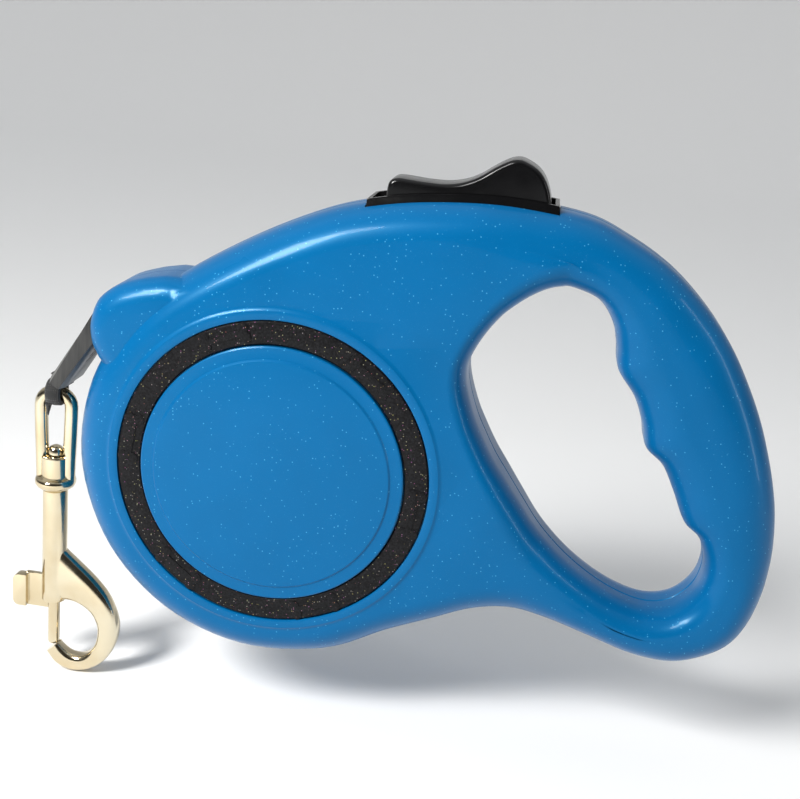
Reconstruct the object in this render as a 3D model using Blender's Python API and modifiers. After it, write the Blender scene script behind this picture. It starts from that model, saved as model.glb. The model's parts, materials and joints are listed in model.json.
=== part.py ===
"""Retractable dog leash: a split casing with a hand grip, a spring reel, a thumb brake and a swivel snap hook.

The origin is the middle of the hand grip. +X runs from the reel towards the grip, +Z is up as the leash is
held, and the near side of the casing is -Y. The reel turns about a line along Y.
"""

import math

import bmesh
import bpy
from mathutils import Matrix, Vector

MM = 0.001

# Fits between pieces
GAP = 0.3 * MM  # between two faces that touch
RUN = 0.5 * MM  # beside something that turns or slides

# Casing
DRUM_RADIUS = 50.5 * MM
DRUM_TO_GRIP = 55.5 * MM  # from the rim of the drum to the middle of the grip, along X
GRIP_HEIGHT = 10.0 * MM  # the grip's middle above the reel axis
CASE_HALF = 13.5 * MM  # half the thickness of the drum
GRIP_HALF = 11.0 * MM  # half the thickness of the grip
WALL = 2.4 * MM
PARTING = 0.5 * GAP  # from the middle plane to each shell's edge
RIM_SIDE = 3.0 * MM  # straight part of the rim beside the joint between the shells
RIM_ROUND = 8.5 * MM  # width of the rounding from the rim to the drum's face
GRIP_ROUND = 11.0 * MM  # the same on the grip, which is almost a tube
HOLE_ROUND = 4.5 * MM  # the same round the hand hole, on the drum's side

# Stepped face of the drum, each step prouder than the one outside it
PLATEAU_RADIUS = 40.6 * MM
RING_OUTER = 38.2 * MM
RING_INNER = 32.0 * MM
DISC_RADIUS = 29.0 * MM
FACE_STEP = 0.5 * MM
RING_DEPTH = 1.5 * MM

# Reel and its spring
TAPE_WIDTH = 10.0 * MM
TAPE_THICKNESS = 0.7 * MM
TAPE_OUTER = 36.0 * MM  # radius of the tape when it is all wound in
CORE_OUTER = 22.0 * MM
CORE_WALL = 2.2 * MM
FLANGE_RADIUS = 38.2 * MM
FLANGE_THICKNESS = 1.4 * MM
TOOTH_COUNT = 18
TOOTH_HEIGHT = 3.1 * MM
TOOTH_WIDTH = 3.0 * MM
TOOTH_PHASE = 19.2  # degrees, so that the brake's leg is over a gap at rest
AXLE_RADIUS = 3.0 * MM
SPRING_TURNS = 4
SPRING_STRIP = 0.4 * MM

# Nose, tape and sheath
MOUTH = (-0.89109 * DRUM_RADIUS, 0.64356 * DRUM_RADIUS)  # where the tape leaves the nose, from the reel axis
NOSE_HALF = 12.0 * MM
NOSE_ROUND = 5.0 * MM
SHEATH_LENGTH = 23.0 * MM
SHEATH_WIDTH = 15.0 * MM
SHEATH_THICKNESS = 4.4 * MM
SHEATH_DROP = math.radians(58.7)  # below the horizontal, at rest

# Webbing between the sheath and the hook
KNUCKLE_RADIUS = 1.2 * MM
KNUCKLE_HALF = 3.6 * MM
KNUCKLE_INSET = 1.2 * MM  # from the sheath's end up to the knuckle's middle
WEBBING_THICKNESS = 1.1 * MM
WEBBING_HALF = 1.9 * MM
NECK_THICKNESS = 1.3 * MM
LOOP_SWING = math.radians(25)  # how far the webbing bends away from the casing

# Snap hook: heights count up from the middle of the eye's top bar
BAR_DROP = 4.4 * MM  # from the sheath's end to the middle of the bar
BAR_RADIUS = 1.7 * MM
EYE_HALF = 5.65 * MM
WINDOW_HALF = 2.25 * MM
WINDOW_BOTTOM = -17.1 * MM
EYE_BOTTOM = -26.0 * MM
STEM_RADIUS = 1.2 * MM
BARREL_RADIUS = 3.2 * MM
BARREL_BOTTOM = -58.1 * MM
BOLT_RADIUS = 1.55 * MM
BOLT_TOP = -44.0 * MM
BOLT_END = -71.2 * MM
BOLT_TRAVEL = 8.0 * MM
SPRING_ROOM = 14.5 * MM
TAB_TOP = -51.2 * MM
TAB_HEIGHT = 9.6 * MM
TAB_REACH = 10.6 * MM
TAB_HALF = 0.6 * MM
HOOK_HALF = 2.7 * MM

# Tape guide in the nose
CHANNEL_SIDE = SHEATH_WIDTH / 2 + RUN
CHANNEL_HALF = 3.2 * MM
GUIDE_START = 3.2 * MM  # from the mouth's pivot back to the guide
GUIDE_LENGTH = 7.5 * MM

# Brake
BEZEL_END = 1.0 * MM
BEZEL_DEPTH = 5.6 * MM
LIP_HALF = 8.0 * MM
LIP_RISE = 1.1 * MM  # thickness of the lip under the casing's wall
RAIL_Z = 58.5 * MM
RAIL_INNER = 7.9 * MM
SLIDE_HALF = 8.5 * MM
SLIDE_THICKNESS = 1.6 * MM
PIN_RADIUS = 1.0 * MM
EAR_HALF = 1.5 * MM
EAR_RADIUS = 2.4 * MM
LEG_POLAR = 70.0  # where the leg's tip is round the reel, in degrees above +X
BUTTON_SPRING_X = 38.0 * MM
BUTTON_HALF = 5.2 * MM
BEZEL_HALF = 6.8 * MM
BEZEL_PROUD = 1.1 * MM
BUTTON_START = 17.2 * MM  # front of the bezel's opening, from the reel axis
BUTTON_END = 58.6 * MM
LOCK_TRAVEL = 2.5 * MM
PRESS_ANGLE = math.radians(4.8)
PIVOT = (55.0 * MM, 65.0 * MM)  # the button's pin, from the reel axis

# Case screws: head at the far side
SCREW_HEAD = 2.3 * MM
SCREW_SHANK = 1.2 * MM
BOSS_RADIUS = 3.7 * MM
HEAD_SEAT = 5.4 * MM  # where a screw's head sits, from the middle plane
SCREW_POINT = -7.6 * MM
DRUM_SCREWS = ((-8.0, 50.6), (46.0, -22.5))  # in millimetres from the reel axis
GRIP_SCREWS = ((-31.5, 47.2), (-14.0, 32.0), (4.0, -35.5))  # the same from the grip's middle

# Axle
AXLE_END = CASE_HALF - WALL - RUN
BEARING_FACE = 9.3 * MM  # inner end of each axle boss, from the middle plane

X_AXIS = Vector((1.0, 0.0, 0.0))
Y_AXIS = Vector((0.0, 1.0, 0.0))
Z_AXIS = Vector((0.0, 0.0, 1.0))
REEL_X = -(DRUM_RADIUS + DRUM_TO_GRIP)
REEL_Z = -GRIP_HEIGHT
STRIP_RADIUS = TAPE_OUTER + TAPE_THICKNESS

NEAR = -1
FAR = 1


def from_reel(x, z, y=0.0):
    """A point given from the reel axis, in the part's frame."""
    return Vector((REEL_X + x, y, REEL_Z + z))


def clear_scene():
    for item in list(bpy.data.objects):
        bpy.data.objects.remove(item, do_unlink=True)


def make_collection(name):
    found = bpy.data.collections.new(name)
    bpy.context.scene.collection.children.link(found)
    return found


def finish_material(name, colour, roughness, metallic=0.0, coat=0.0):
    found = bpy.data.materials.new(name)
    found.use_nodes = True
    shader = found.node_tree.nodes["Principled BSDF"]
    shader.inputs["Base Color"].default_value = (*colour, 1.0)
    shader.inputs["Roughness"].default_value = roughness
    shader.inputs["Metallic"].default_value = metallic
    shader.inputs["Coat Weight"].default_value = coat
    found.diffuse_color = (*colour, 1.0)
    return found


clear_scene()
PARTS = make_collection("retractable_leash")
CUTTERS = make_collection("cutters")
CUTTERS.hide_render = True

BLUE = finish_material("pearl_blue_abs", (0.005, 0.17, 0.50), 0.22, coat=0.6)
BLACK = finish_material("gloss_black_abs", (0.01, 0.01, 0.01), 0.25)
INNER = finish_material("white_nylon", (0.75, 0.75, 0.72), 0.45)
STEEL = finish_material("nickel_plated_zinc", (0.72, 0.69, 0.62), 0.18, metallic=1.0)
SPRING = finish_material("spring_steel", (0.35, 0.36, 0.38), 0.35, metallic=1.0)
WEBBING = finish_material("black_webbing", (0.015, 0.015, 0.016), 0.8)
SHEATHING = finish_material("grey_black_plastic", (0.03, 0.03, 0.03), 0.4)


# ---------------------------------------------------------------- helpers


def add_mesh(name, bm, material, cutter=False):
    bmesh.ops.recalc_face_normals(bm, faces=bm.faces)
    mesh = bpy.data.meshes.new(name)
    bm.to_mesh(mesh)
    bm.free()
    item = bpy.data.objects.new(name, mesh)
    (CUTTERS if cutter else PARTS).objects.link(item)
    if cutter:
        item.hide_render = True
        item.display_type = "WIRE"
    else:
        mesh.materials.append(material)
        mesh.shade_smooth()
        mesh.set_sharp_from_angle(angle=math.radians(32))
    return item


def boolean(item, operation, other):
    step = item.modifiers.new(operation.lower() + "_" + other.name, "BOOLEAN")
    step.operation = operation
    step.object = other
    step.solver = "EXACT"


def cut(item, *others):
    for other in others:
        boolean(item, "DIFFERENCE", other)


def join(item, *others):
    for other in others:
        boolean(item, "UNION", other)


def to_mesh(item, material=None, cutter=False):
    """Turns a curve, or a piece with modifiers, into a plain mesh in its own place."""
    graph = bpy.context.evaluated_depsgraph_get()
    graph.update()
    evaluated = item.evaluated_get(graph)
    mesh = bpy.data.meshes.new_from_object(evaluated)
    place = item.matrix_world.copy()
    name = item.name
    bpy.data.objects.remove(item, do_unlink=True)
    bm = bmesh.new()
    bm.from_mesh(mesh)
    bpy.data.meshes.remove(mesh)
    bmesh.ops.remove_doubles(bm, verts=bm.verts, dist=0.00001)
    made = add_mesh(name, bm, material, cutter)
    made.matrix_world = place
    return made


def rod_mesh(bm, start, end, radius, sides=20, end_radius=None):
    """Adds a closed cylinder, or a cone, between two points."""
    start, end = Vector(start), Vector(end)
    span = end - start
    turn = span.to_track_quat("Z", "Y").to_matrix().to_4x4()
    place = Matrix.Translation((start + end) / 2) @ turn
    bmesh.ops.create_cone(
        bm,
        cap_ends=True,
        segments=sides,
        radius1=radius,
        radius2=radius if end_radius is None else end_radius,
        depth=span.length,
        matrix=place,
    )


def rod(name, start, end, radius, material=None, sides=20, cutter=False):
    bm = bmesh.new()
    rod_mesh(bm, start, end, radius, sides)
    return add_mesh(name, bm, material, cutter)


def box_mesh(bm, low, high):
    low, high = Vector(low), Vector(high)
    size = high - low
    place = Matrix.Translation((low + high) / 2) @ Matrix.Diagonal((*size, 1.0))
    bmesh.ops.create_cube(bm, size=1.0, matrix=place)


def box(name, low, high, material=None, cutter=False):
    bm = bmesh.new()
    box_mesh(bm, low, high)
    return add_mesh(name, bm, material, cutter)


def turned(name, profile, place, material=None, steps=40, cutter=False, upright=False):
    """A profile of (radius, height) turned about a line along Y, where height grows towards the near side.

    When upright, it turns about a vertical line and height grows upwards.
    """
    bm = bmesh.new()
    points = [bm.verts.new((radius, 0.0, height)) for radius, height in profile]
    for first, second in zip(points, points[1:] + points[:1]):
        bm.edges.new((first, second))
    mesh = bpy.data.meshes.new(name)
    bm.to_mesh(mesh)
    bm.free()
    item = bpy.data.objects.new(name, mesh)
    (CUTTERS if cutter else PARTS).objects.link(item)
    screw = item.modifiers.new("turn", "SCREW")
    screw.steps = steps
    screw.render_steps = steps
    screw.use_merge_vertices = True
    screw.merge_threshold = 0.00001
    if not upright:
        item.rotation_euler = (math.radians(90), 0.0, 0.0)
    item.location = place
    bpy.context.view_layer.update()
    return to_mesh(item, material, cutter)


def flat_mesh(bm, outline, y_low, y_high):
    """Adds a flat outline in X and Z, given as world points, drawn out along Y."""
    ring = [bm.verts.new((x, y_low, z)) for x, z in outline]
    face = bm.faces.new(ring)
    made = bmesh.ops.extrude_face_region(bm, geom=[face])
    moved = [found for found in made["geom"] if isinstance(found, bmesh.types.BMVert)]
    bmesh.ops.translate(bm, verts=moved, vec=(0.0, y_high - y_low, 0.0))


def flat_piece(name, outline, half, material=None, cutter=False, bevel=0.0, segments=2):
    """A flat outline in X and Z drawn out to both sides of the middle plane, with its long edges rounded."""
    bm = bmesh.new()
    flat_mesh(bm, outline, -half, half)
    if bevel:
        edges = [edge for edge in bm.edges if abs(edge.verts[0].co.y - edge.verts[1].co.y) < 1e-9]
        bmesh.ops.bevel(
            bm,
            geom=edges,
            offset=bevel,
            segments=segments,
            profile=0.5,
            affect="EDGES",
            material=-1,
        )
    return add_mesh(name, bm, material, cutter)


def spline(points, steps, closed=True):
    """Points on a smooth curve through the given ones, with so many steps between each pair."""
    count = len(points)
    made = []
    last = count if closed else count - 1
    for index in range(last):
        if closed:
            p0, p1, p2, p3 = (Vector(points[(index + shift) % count]) for shift in (-1, 0, 1, 2))
        else:
            p0, p1, p2, p3 = (
                Vector(points[min(max(index + shift, 0), count - 1)]) for shift in (-1, 0, 1, 2)
            )
        for step in range(steps):
            t = step / steps
            made.append(
                0.5
                * (
                    2 * p1
                    + (p2 - p0) * t
                    + (2 * p0 - 5 * p1 + 4 * p2 - p3) * t * t
                    + (3 * p1 - p0 - 3 * p2 + p3) * t * t * t
                )
            )
    if not closed:
        made.append(Vector(points[-1]))
    return made


def smooth_step(value, low, high):
    share = min(max((value - low) / (high - low), 0.0), 1.0)
    return share * share * (3 - 2 * share)


def mix(first, second, share):
    return first + (second - first) * share


# ---------------------------------------------------------------- casing


def rim_point(degrees, beyond=0.0):
    """A point on the drum's rim, from the reel axis."""
    angle = math.radians(degrees)
    radius = DRUM_RADIUS + beyond
    return Vector((radius * math.cos(angle), radius * math.sin(angle)))


def grip_point(x, z):
    """A point given in millimetres from the grip's middle, from the reel axis."""
    return Vector((x * MM - REEL_X, z * MM - REEL_Z))


# Each pair is a point on the hand hole and the point across from it on the outside, both in millimetres from
# the grip's middle, going clockwise from the top as seen from the near side.
GRIP_PAIRS = (
    ((-40.9, 42.6), (-40.0, 58.6)),
    ((-34.7, 40.4), (-29.6, 54.8)),
    ((-30.8, 35.4), (-19.2, 49.0)),
    ((-29.0, 29.9), (-10.2, 41.2)),
    ((-27.8, 24.2), (-3.4, 33.2)),
    ((-23.2, 18.3), (1.8, 25.0)),
    ((-20.4, 12.0), (6.2, 16.6)),
    ((-18.7, 6.4), (9.4, 8.8)),
    ((-14.2, 2.6), (11.8, 1.8)),
    ((-10.6, -3.6), (13.6, -5.2)),
    ((-6.9, -10.9), (14.7, -13.0)),
    ((-2.8, -14.4), (14.9, -19.4)),
    ((-0.4, -20.4), (14.3, -26.6)),
    ((-1.0, -26.4), (12.4, -34.4)),
    ((-3.8, -31.0), (9.0, -40.6)),
    ((-7.6, -33.8), (3.4, -44.8)),
    ((-13.0, -34.6), (-4.5, -47.6)),
    ((-19.6, -33.0), (-14.5, -47.0)),
    ((-26.4, -29.8), (-25.5, -43.8)),
    ((-33.6, -24.9), (-36.0, -40.8)),
    ((-40.4, -18.6), (-45.5, -39.4)),
    ((-45.6, -12.0), (-54.5, -41.0)),
    ((-50.0, -6.1), (-63.5, -45.0)),
)
# From here the outside follows the drum: a point on the hand hole, then degrees round the drum and how far
# beyond its rim.
DRUM_PAIRS = (
    ((-53.6, -1.2), -52.0, 0.4),
    ((-56.5, 3.6), -72.0, 0.0),
    ((-58.8, 7.8), -97.0, 0.0),
    ((-60.4, 11.6), -122.0, 0.0),
    ((-61.6, 15.0), -147.0, 0.0),
    ((-62.4, 18.4), -172.0, 0.0),
    ((-62.4, 22.0), -195.0, 0.0),
    ((-61.1, 26.0), -216.0, 0.0),
    ((-58.8, 30.4), -234.0, 0.9),
)
# The top of the casing from the nose to the grip: a point on the hand hole from the grip's middle, and the
# point across from it on the outside from the reel axis.
TOP_PAIRS = (
    ((-55.8, 34.6), (-12.0, 53.8)),
    ((-52.2, 38.0), (5.5, 62.7)),
    ((-49.2, 40.2), (19.0, 66.9)),
    ((-46.4, 41.7), (33.0, 69.2)),
    ((-43.6, 42.5), (49.0, 70.1)),
)


def casing_outlines(steps):
    """The hand hole and the outside of the casing, point for point, from the reel axis."""
    hole = [grip_point(*inner) for inner, _ in GRIP_PAIRS]
    outside = [grip_point(*outer) for _, outer in GRIP_PAIRS]
    for inner, degrees, beyond in DRUM_PAIRS:
        hole.append(grip_point(*inner))
        outside.append(rim_point(degrees, beyond * MM))
    for inner, outer in TOP_PAIRS:
        hole.append(grip_point(*inner))
        outside.append(Vector(outer) * MM)
    return spline(hole, steps), spline(outside, steps)


def inward_normals(outline, side):
    """Unit vectors into the material at each point of a closed outline; side is 1 or -1 by its direction."""
    count = len(outline)
    normals = []
    for index in range(count):
        along = outline[(index + 1) % count] - outline[index - 1]
        normals.append(Vector((along.y, -along.x)).normalized() * side)
    return normals


def softened(outline, rounds):
    """The outline with its ridges smoothed away."""
    points = [point.copy() for point in outline]
    for _ in range(rounds):
        points = [
            (points[index - 1] + points[index] * 2 + points[(index + 1) % len(points)]) / 4
            for index in range(len(points))
        ]
    return points


def grip_share(x):
    """0 on the drum and 1 on the grip, by the distance from the reel axis along X."""
    start = DRUM_RADIUS - 4 * MM
    return smooth_step(x, start, start + 36 * MM)


def half_thickness(x):
    return mix(CASE_HALF, GRIP_HALF, grip_share(x))


def loop_body(name, inset, steps, rounding, reach, cutter=False):
    """The near half of the casing as a solid, or with an inset the hollow inside it.

    It is a loft round the hand hole. Rings step in from the outside, cross the face and step down into the
    hole, and the last ring closes the body at a plane that reach gives.
    """
    hole, outside = casing_outlines(steps)
    smooth_hole = softened(hole, 3 * steps)
    into_outside = inward_normals(outside, 1)
    into_hole = inward_normals(smooth_hole, -1)
    count = len(outside)
    angles = [math.radians(90 * step / rounding) for step in range(rounding + 1)]
    rings = []

    def ring(points):
        rings.append(points)

    def outer_ring(angle):
        made = []
        for index in range(count):
            width, _, high = section(index)
            start = outside[index] + into_outside[index] * inset
            place = start + into_outside[index] * width * (1 - math.cos(angle))
            made.append((place, mix(RIM_SIDE, high, math.sin(angle))))
        return made

    def hole_ring(angle):
        made = []
        for index in range(count):
            _, width, high = section(index)
            fade = 1 - math.cos(angle)
            start = hole[index].lerp(smooth_hole[index], fade) + into_hole[index] * inset
            place = start + into_hole[index] * width * fade
            low = mix(CASE_HALF - HOLE_ROUND - 3 * MM, RIM_SIDE, grip_share(hole[index].x))
            made.append((place, mix(low, high, math.sin(angle))))
        return made

    def section(index):
        """Width of the rounding from the outside and from the hole, and the face's height."""
        share = grip_share(outside[index].x)
        from_outside = mix(RIM_ROUND, GRIP_ROUND, share) - inset * 0.6
        from_hole = mix(HOLE_ROUND, GRIP_ROUND - 1.5 * MM, grip_share(hole[index].x)) - inset * 0.6
        room = (outside[index] - hole[index]).length - 2 * inset
        scale = min(1.0, 0.86 * room / (from_outside + from_hole))
        middle = (outside[index].x + hole[index].x) / 2
        return from_outside * scale, from_hole * scale, half_thickness(middle) - inset

    ring([(place, reach) for place, _ in outer_ring(0.0)])
    for angle in angles:
        ring(outer_ring(angle))
    first, last = rings[-1], hole_ring(angles[-1])
    ring([((a.lerp(b, 0.5)), (p + q) / 2) for (a, p), (b, q) in zip(first, last)])
    for angle in reversed(angles):
        ring(hole_ring(angle))
    ring([(place, reach) for place, _ in hole_ring(0.0)])

    bm = bmesh.new()
    loops = []
    for points in rings:
        verts = [bm.verts.new(from_reel(place.x, place.y, -high)) for place, high in points]
        edges = [bm.edges.new((verts[index - 1], verts[index])) for index in range(count)]
        loops.append((verts, edges))
    for (near_verts, _), (far_verts, _) in zip(loops, loops[1:] + loops[:1]):
        for index in range(count):
            bm.faces.new(
                (near_verts[index - 1], near_verts[index], far_verts[index], far_verts[index - 1])
            )
    return add_mesh(name, bm, BLUE, cutter)


def mirrored(item, name, cutter=False):
    """A copy of a piece on the other side of the middle plane."""
    bm = bmesh.new()
    bm.from_mesh(item.data)
    bmesh.ops.scale(bm, vec=(1.0, -1.0, 1.0), verts=bm.verts)
    bmesh.ops.reverse_faces(bm, faces=bm.faces)
    return add_mesh(name, bm, BLUE, cutter)


def nose_outline():
    """The nose from the side: it stands out of the drum round the mouth."""
    mouth = Vector(MOUTH)
    around = (
        (25.0, 9.5),
        (17.4, 11.5),
        (12.2, 10.8),
        (8.8, 9.9),
        (4.1, 8.1),
        (0.7, 5.7),
        (-1.2, 3.5),
        (-2.4, 0.3),
        (-2.9, -3.0),
        (-2.3, -6.9),
        (-1.2, -9.1),
        (0.1, -11.2),
        (4.0, -14.5),
        (14.0, -13.5),
        (24.0, -6.0),
    )
    return [mouth + Vector((x * MM, z * MM)) for x, z in around]


def world_outline(points):
    return [(REEL_X + point.x, REEL_Z + point.y) for point in points]


def pull_angle():
    """Slope of the straight tape from the wound tape's top to the mouth, above the horizontal."""
    mouth = Vector(MOUTH)
    towards = math.atan2(-mouth.y, -mouth.x)
    return towards + math.asin(STRIP_RADIUS / mouth.length)


PULL = pull_angle()
PULL_LENGTH = math.sqrt(Vector(MOUTH).length_squared - STRIP_RADIUS**2)
ALONG_PULL = Vector((-math.cos(PULL), 0.0, -math.sin(PULL)))
ALONG_SHEATH = Vector((-math.cos(SHEATH_DROP), 0.0, -math.sin(SHEATH_DROP)))
SHEATH_PIVOT = from_reel(*MOUTH)
SHEATH_END = SHEATH_PIVOT + ALONG_SHEATH * SHEATH_LENGTH
KNUCKLE = SHEATH_END - ALONG_SHEATH * KNUCKLE_INSET
BAR = SHEATH_END + ALONG_SHEATH * BAR_DROP


def mouth_cutter():
    """The way out for the tape, open from straight ahead round to where the sheath hangs."""
    room = CHANNEL_SIDE
    pivot = Vector(MOUTH)
    drop = Vector((ALONG_SHEATH.x, ALONG_SHEATH.z))
    ahead = Vector((ALONG_PULL.x, ALONG_PULL.z))
    under = Vector((-drop.y, drop.x)) * (SHEATH_THICKNESS / 2 + 1.6 * MM)
    over = Vector((-ahead.y, ahead.x)) * -CHANNEL_HALF
    inside = pivot - ahead * 24 * MM
    points = [
        inside + over,
        pivot + ahead * 20 * MM + over,
        pivot + drop * 40 * MM + ahead * 12 * MM,
        pivot + drop * 40 * MM + under,
        pivot - ahead * (GUIDE_START - GAP) - over,
        inside - over,
    ]
    return flat_piece("mouth_cutter", world_outline(points), room, cutter=True)


def turned_cutter(name, profile, side):
    """A turned cutter about the reel axis; its heights count from the middle plane to the given side."""
    item = turned(name, profile, from_reel(0, 0), cutter=True, steps=48)
    if side == FAR:
        item.data.transform(Matrix.Rotation(math.pi, 4, "X"))
    return item


def drum_steps(side):
    """The proud steps on the drum's face, one turned piece that sinks into the wall."""
    face = CASE_HALF
    profile = (
        (0.0, face + 3 * FACE_STEP),
        (DISC_RADIUS - 0.5 * MM, face + 3 * FACE_STEP),
        (DISC_RADIUS, face + 2 * FACE_STEP),
        (RING_INNER, face + 1.9 * FACE_STEP),
        (RING_OUTER, face + FACE_STEP),
        (PLATEAU_RADIUS - 0.4 * MM, face + FACE_STEP),
        (PLATEAU_RADIUS, face - 0.2 * MM),
        (PLATEAU_RADIUS, face - WALL - 0.5 * MM),
        (0.0, face - WALL - 0.5 * MM),
    )
    return turned_cutter("near_steps" if side == NEAR else "far_steps", profile, side)


def ring_groove(side):
    """The groove that the patterned ring sits in."""
    profile = (
        (RING_OUTER, CASE_HALF + 6 * FACE_STEP),
        (RING_OUTER, CASE_HALF + FACE_STEP - RING_DEPTH),
        (RING_INNER, CASE_HALF + FACE_STEP - RING_DEPTH),
        (RING_INNER, CASE_HALF + 6 * FACE_STEP),
    )
    return turned_cutter("near_groove" if side == NEAR else "far_groove", profile, side)


def screw_spots():
    """Where the case screws are, from the reel axis."""
    on_drum = [Vector((x * MM, z * MM)) for x, z in DRUM_SCREWS]
    return on_drum + [grip_point(x, z) for x, z in GRIP_SCREWS]


def casing_supports(side):
    """Bosses inside a shell, for its screws and for the axle, and the rail under the lock slide."""
    bm = bmesh.new()
    start = side * 0.5 * GAP
    end = side * CASE_HALF
    for spot in screw_spots():
        rod_mesh(bm, from_reel(*spot, start), from_reel(*spot, end), BOSS_RADIUS, 16)
    rod_mesh(bm, from_reel(0, 0, side * BEARING_FACE), from_reel(0, 0, end), AXLE_RADIUS + 2.6 * MM, 20)
    low = from_reel(BUTTON_START + 2 * MM, RAIL_Z - 1.6 * MM)
    high = from_reel(BUTTON_END + 2 * MM, RAIL_Z)
    inner, outer = sorted((side * RAIL_INNER, end))
    box_mesh(bm, (low.x, inner, low.z), (high.x, outer, high.z))
    if side == NEAR:
        limit = loop_body("near_limit", 0.5 * WALL, 1, 2, 0.1 * MM, cutter=True)
    else:
        limit = mirrored(bpy.data.objects["near_limit"], "far_limit", True)
    item = add_mesh("near_supports" if side == NEAR else "far_supports", bm, None, True)
    boolean(item, "INTERSECT", limit)
    return item


def screw_wells():
    """Wide holes in the far shell for the screws' heads."""
    bm = bmesh.new()
    for spot in screw_spots():
        well = CASE_HALF + 5 * MM
        rod_mesh(bm, from_reel(*spot, HEAD_SEAT), from_reel(*spot, well), SCREW_HEAD + GAP, 16)
    return add_mesh("screw_wells", bm, None, True)


def casing_bores(side):
    """Screw holes and the axle's socket."""
    bm = bmesh.new()
    ends = (SCREW_POINT - RUN, 2 * MM) if side == NEAR else (-2 * MM, HEAD_SEAT + 1 * MM)
    for spot in screw_spots():
        rod_mesh(bm, from_reel(*spot, ends[0]), from_reel(*spot, ends[1]), SCREW_SHANK + GAP, 12)
    rod_mesh(
        bm,
        from_reel(0, 0, side * (BEARING_FACE - 3 * MM)),
        from_reel(0, 0, side * (AXLE_END + GAP)),
        AXLE_RADIUS + GAP,
        24,
    )
    item = add_mesh("near_bores" if side == NEAR else "far_bores", bm, None, True)
    return item


def casing_top(x):
    """Height of the casing's top edge above the reel axis, at a distance from that axis."""
    _, outside = casing_outlines(2)
    for start, end in zip(outside, outside[1:] + outside[:1]):
        low, high = sorted((start.x, end.x))
        if start.y > DRUM_RADIUS and low <= x <= high:
            return mix(start.y, end.y, (x - start.x) / (end.x - start.x))
    raise ValueError("no casing above this point")


def top_band(name, start, end, below, above, half, material=None, cutter=False, steps=6):
    """A band that follows the casing's top edge, from so far below it to so far above it."""
    places = [mix(start, end, step / steps) for step in range(steps + 1)]
    under = [Vector((x, casing_top(x) - below)) for x in places]
    over = [Vector((x, casing_top(x) + above)) for x in reversed(places)]
    return flat_piece(name, world_outline(under + over), half, material, cutter)


def button_slot():
    return top_band(
        "button_slot",
        BUTTON_START - BEZEL_END - GAP,
        BUTTON_END + BEZEL_END + GAP,
        BEZEL_DEPTH + GAP,
        6 * MM,
        BEZEL_HALF + GAP,
        cutter=True,
    )


def lip_room():
    """Space round the bezel's lip, under the casing's wall."""
    return top_band(
        "lip_room",
        BUTTON_START - BEZEL_END - GAP,
        BUTTON_END + BEZEL_END + GAP,
        BEZEL_DEPTH + GAP,
        LIP_RISE + GAP - BEZEL_DEPTH,
        LIP_HALF + GAP,
        cutter=True,
    )


def guide_pocket(side, fit):
    """The lug on each side of the tape guide, or with a fit the pocket for it."""
    ahead = Vector((ALONG_PULL.x, ALONG_PULL.z))
    middle = Vector(MOUTH) - ahead * GUIDE_START
    middle -= ahead * GUIDE_LENGTH / 2
    half = GUIDE_LENGTH / 2 - 1.5 * MM + fit
    across = Vector((-ahead.y, ahead.x)) * (1.6 * MM + fit)
    points = [
        middle + ahead * half + across,
        middle - ahead * half + across,
        middle - ahead * half - across,
        middle + ahead * half - across,
    ]
    bm = bmesh.new()
    inner = CHANNEL_SIDE - 2 * MM
    outer = CHANNEL_SIDE + 1.2 * MM + fit
    low, high = sorted((side * inner, side * outer))
    flat_mesh(bm, world_outline(points), low, high)
    return add_mesh("guide_lug_" + ("near" if side == NEAR else "far"), bm, None, True)


def casing_shell(side):
    """One half of the casing."""
    word = "near" if side == NEAR else "far"
    if side == NEAR:
        body = loop_body("near_shell", 0.0, 2, 4, PARTING)
        hollow = loop_body("near_hollow", WALL, 2, 2, -2 * MM, cutter=True)
    else:
        source = loop_body("far_source", 0.0, 2, 4, PARTING, cutter=True)
        body = mirrored(source, "far_shell")
        bpy.data.objects.remove(source, do_unlink=True)
        hollow = mirrored(bpy.data.objects["near_hollow"], "far_hollow", True)
    nose = flat_piece(
        word + "_nose",
        world_outline(nose_outline()),
        NOSE_HALF,
        cutter=True,
        bevel=NOSE_ROUND,
        segments=3,
    )
    low, high = sorted((side * PARTING, -side * 0.1))
    cut(nose, box(word + "_other_side", (-1.0, low, -1.0), (1.0, high, 1.0), cutter=True))
    join(body, nose, drum_steps(side))
    cut(body, hollow, mouth_cutter(), ring_groove(side))
    pocket = guide_pocket(side, GAP)
    cut(body, button_slot(), lip_room(), pocket)
    join(body, casing_supports(side))
    if side == FAR:
        cut(body, screw_wells())
    cut(body, casing_bores(side))
    return body


def ring_insert(name, side):
    """The patterned ring let into a shell's face."""
    low = CASE_HALF + FACE_STEP - RING_DEPTH + GAP
    high = CASE_HALF + FACE_STEP - 0.1 * MM
    profile = (
        (RING_INNER + GAP, low),
        (RING_OUTER - GAP, low),
        (RING_OUTER - GAP, high),
        (RING_INNER + GAP, high),
    )
    item = turned(name, profile, from_reel(0, 0), BLACK, steps=48)
    if side == FAR:
        item.data.transform(Matrix.Rotation(math.pi, 4, "X"))
    return item


def case_screw(name, spot):
    under = -(HEAD_SEAT + GAP)
    tip = -SCREW_POINT
    profile = (
        (0.0, under - 1.8 * MM),
        (SCREW_HEAD - 0.6 * MM, under - 1.8 * MM),
        (SCREW_HEAD, under - 1.1 * MM),
        (SCREW_HEAD, under),
        (SCREW_SHANK, under),
        (SCREW_SHANK, tip - 1.5 * MM),
        (0.4 * MM, tip),
        (0.0, tip),
    )
    return turned(name, profile, from_reel(*spot), SPRING, steps=12)


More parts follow.
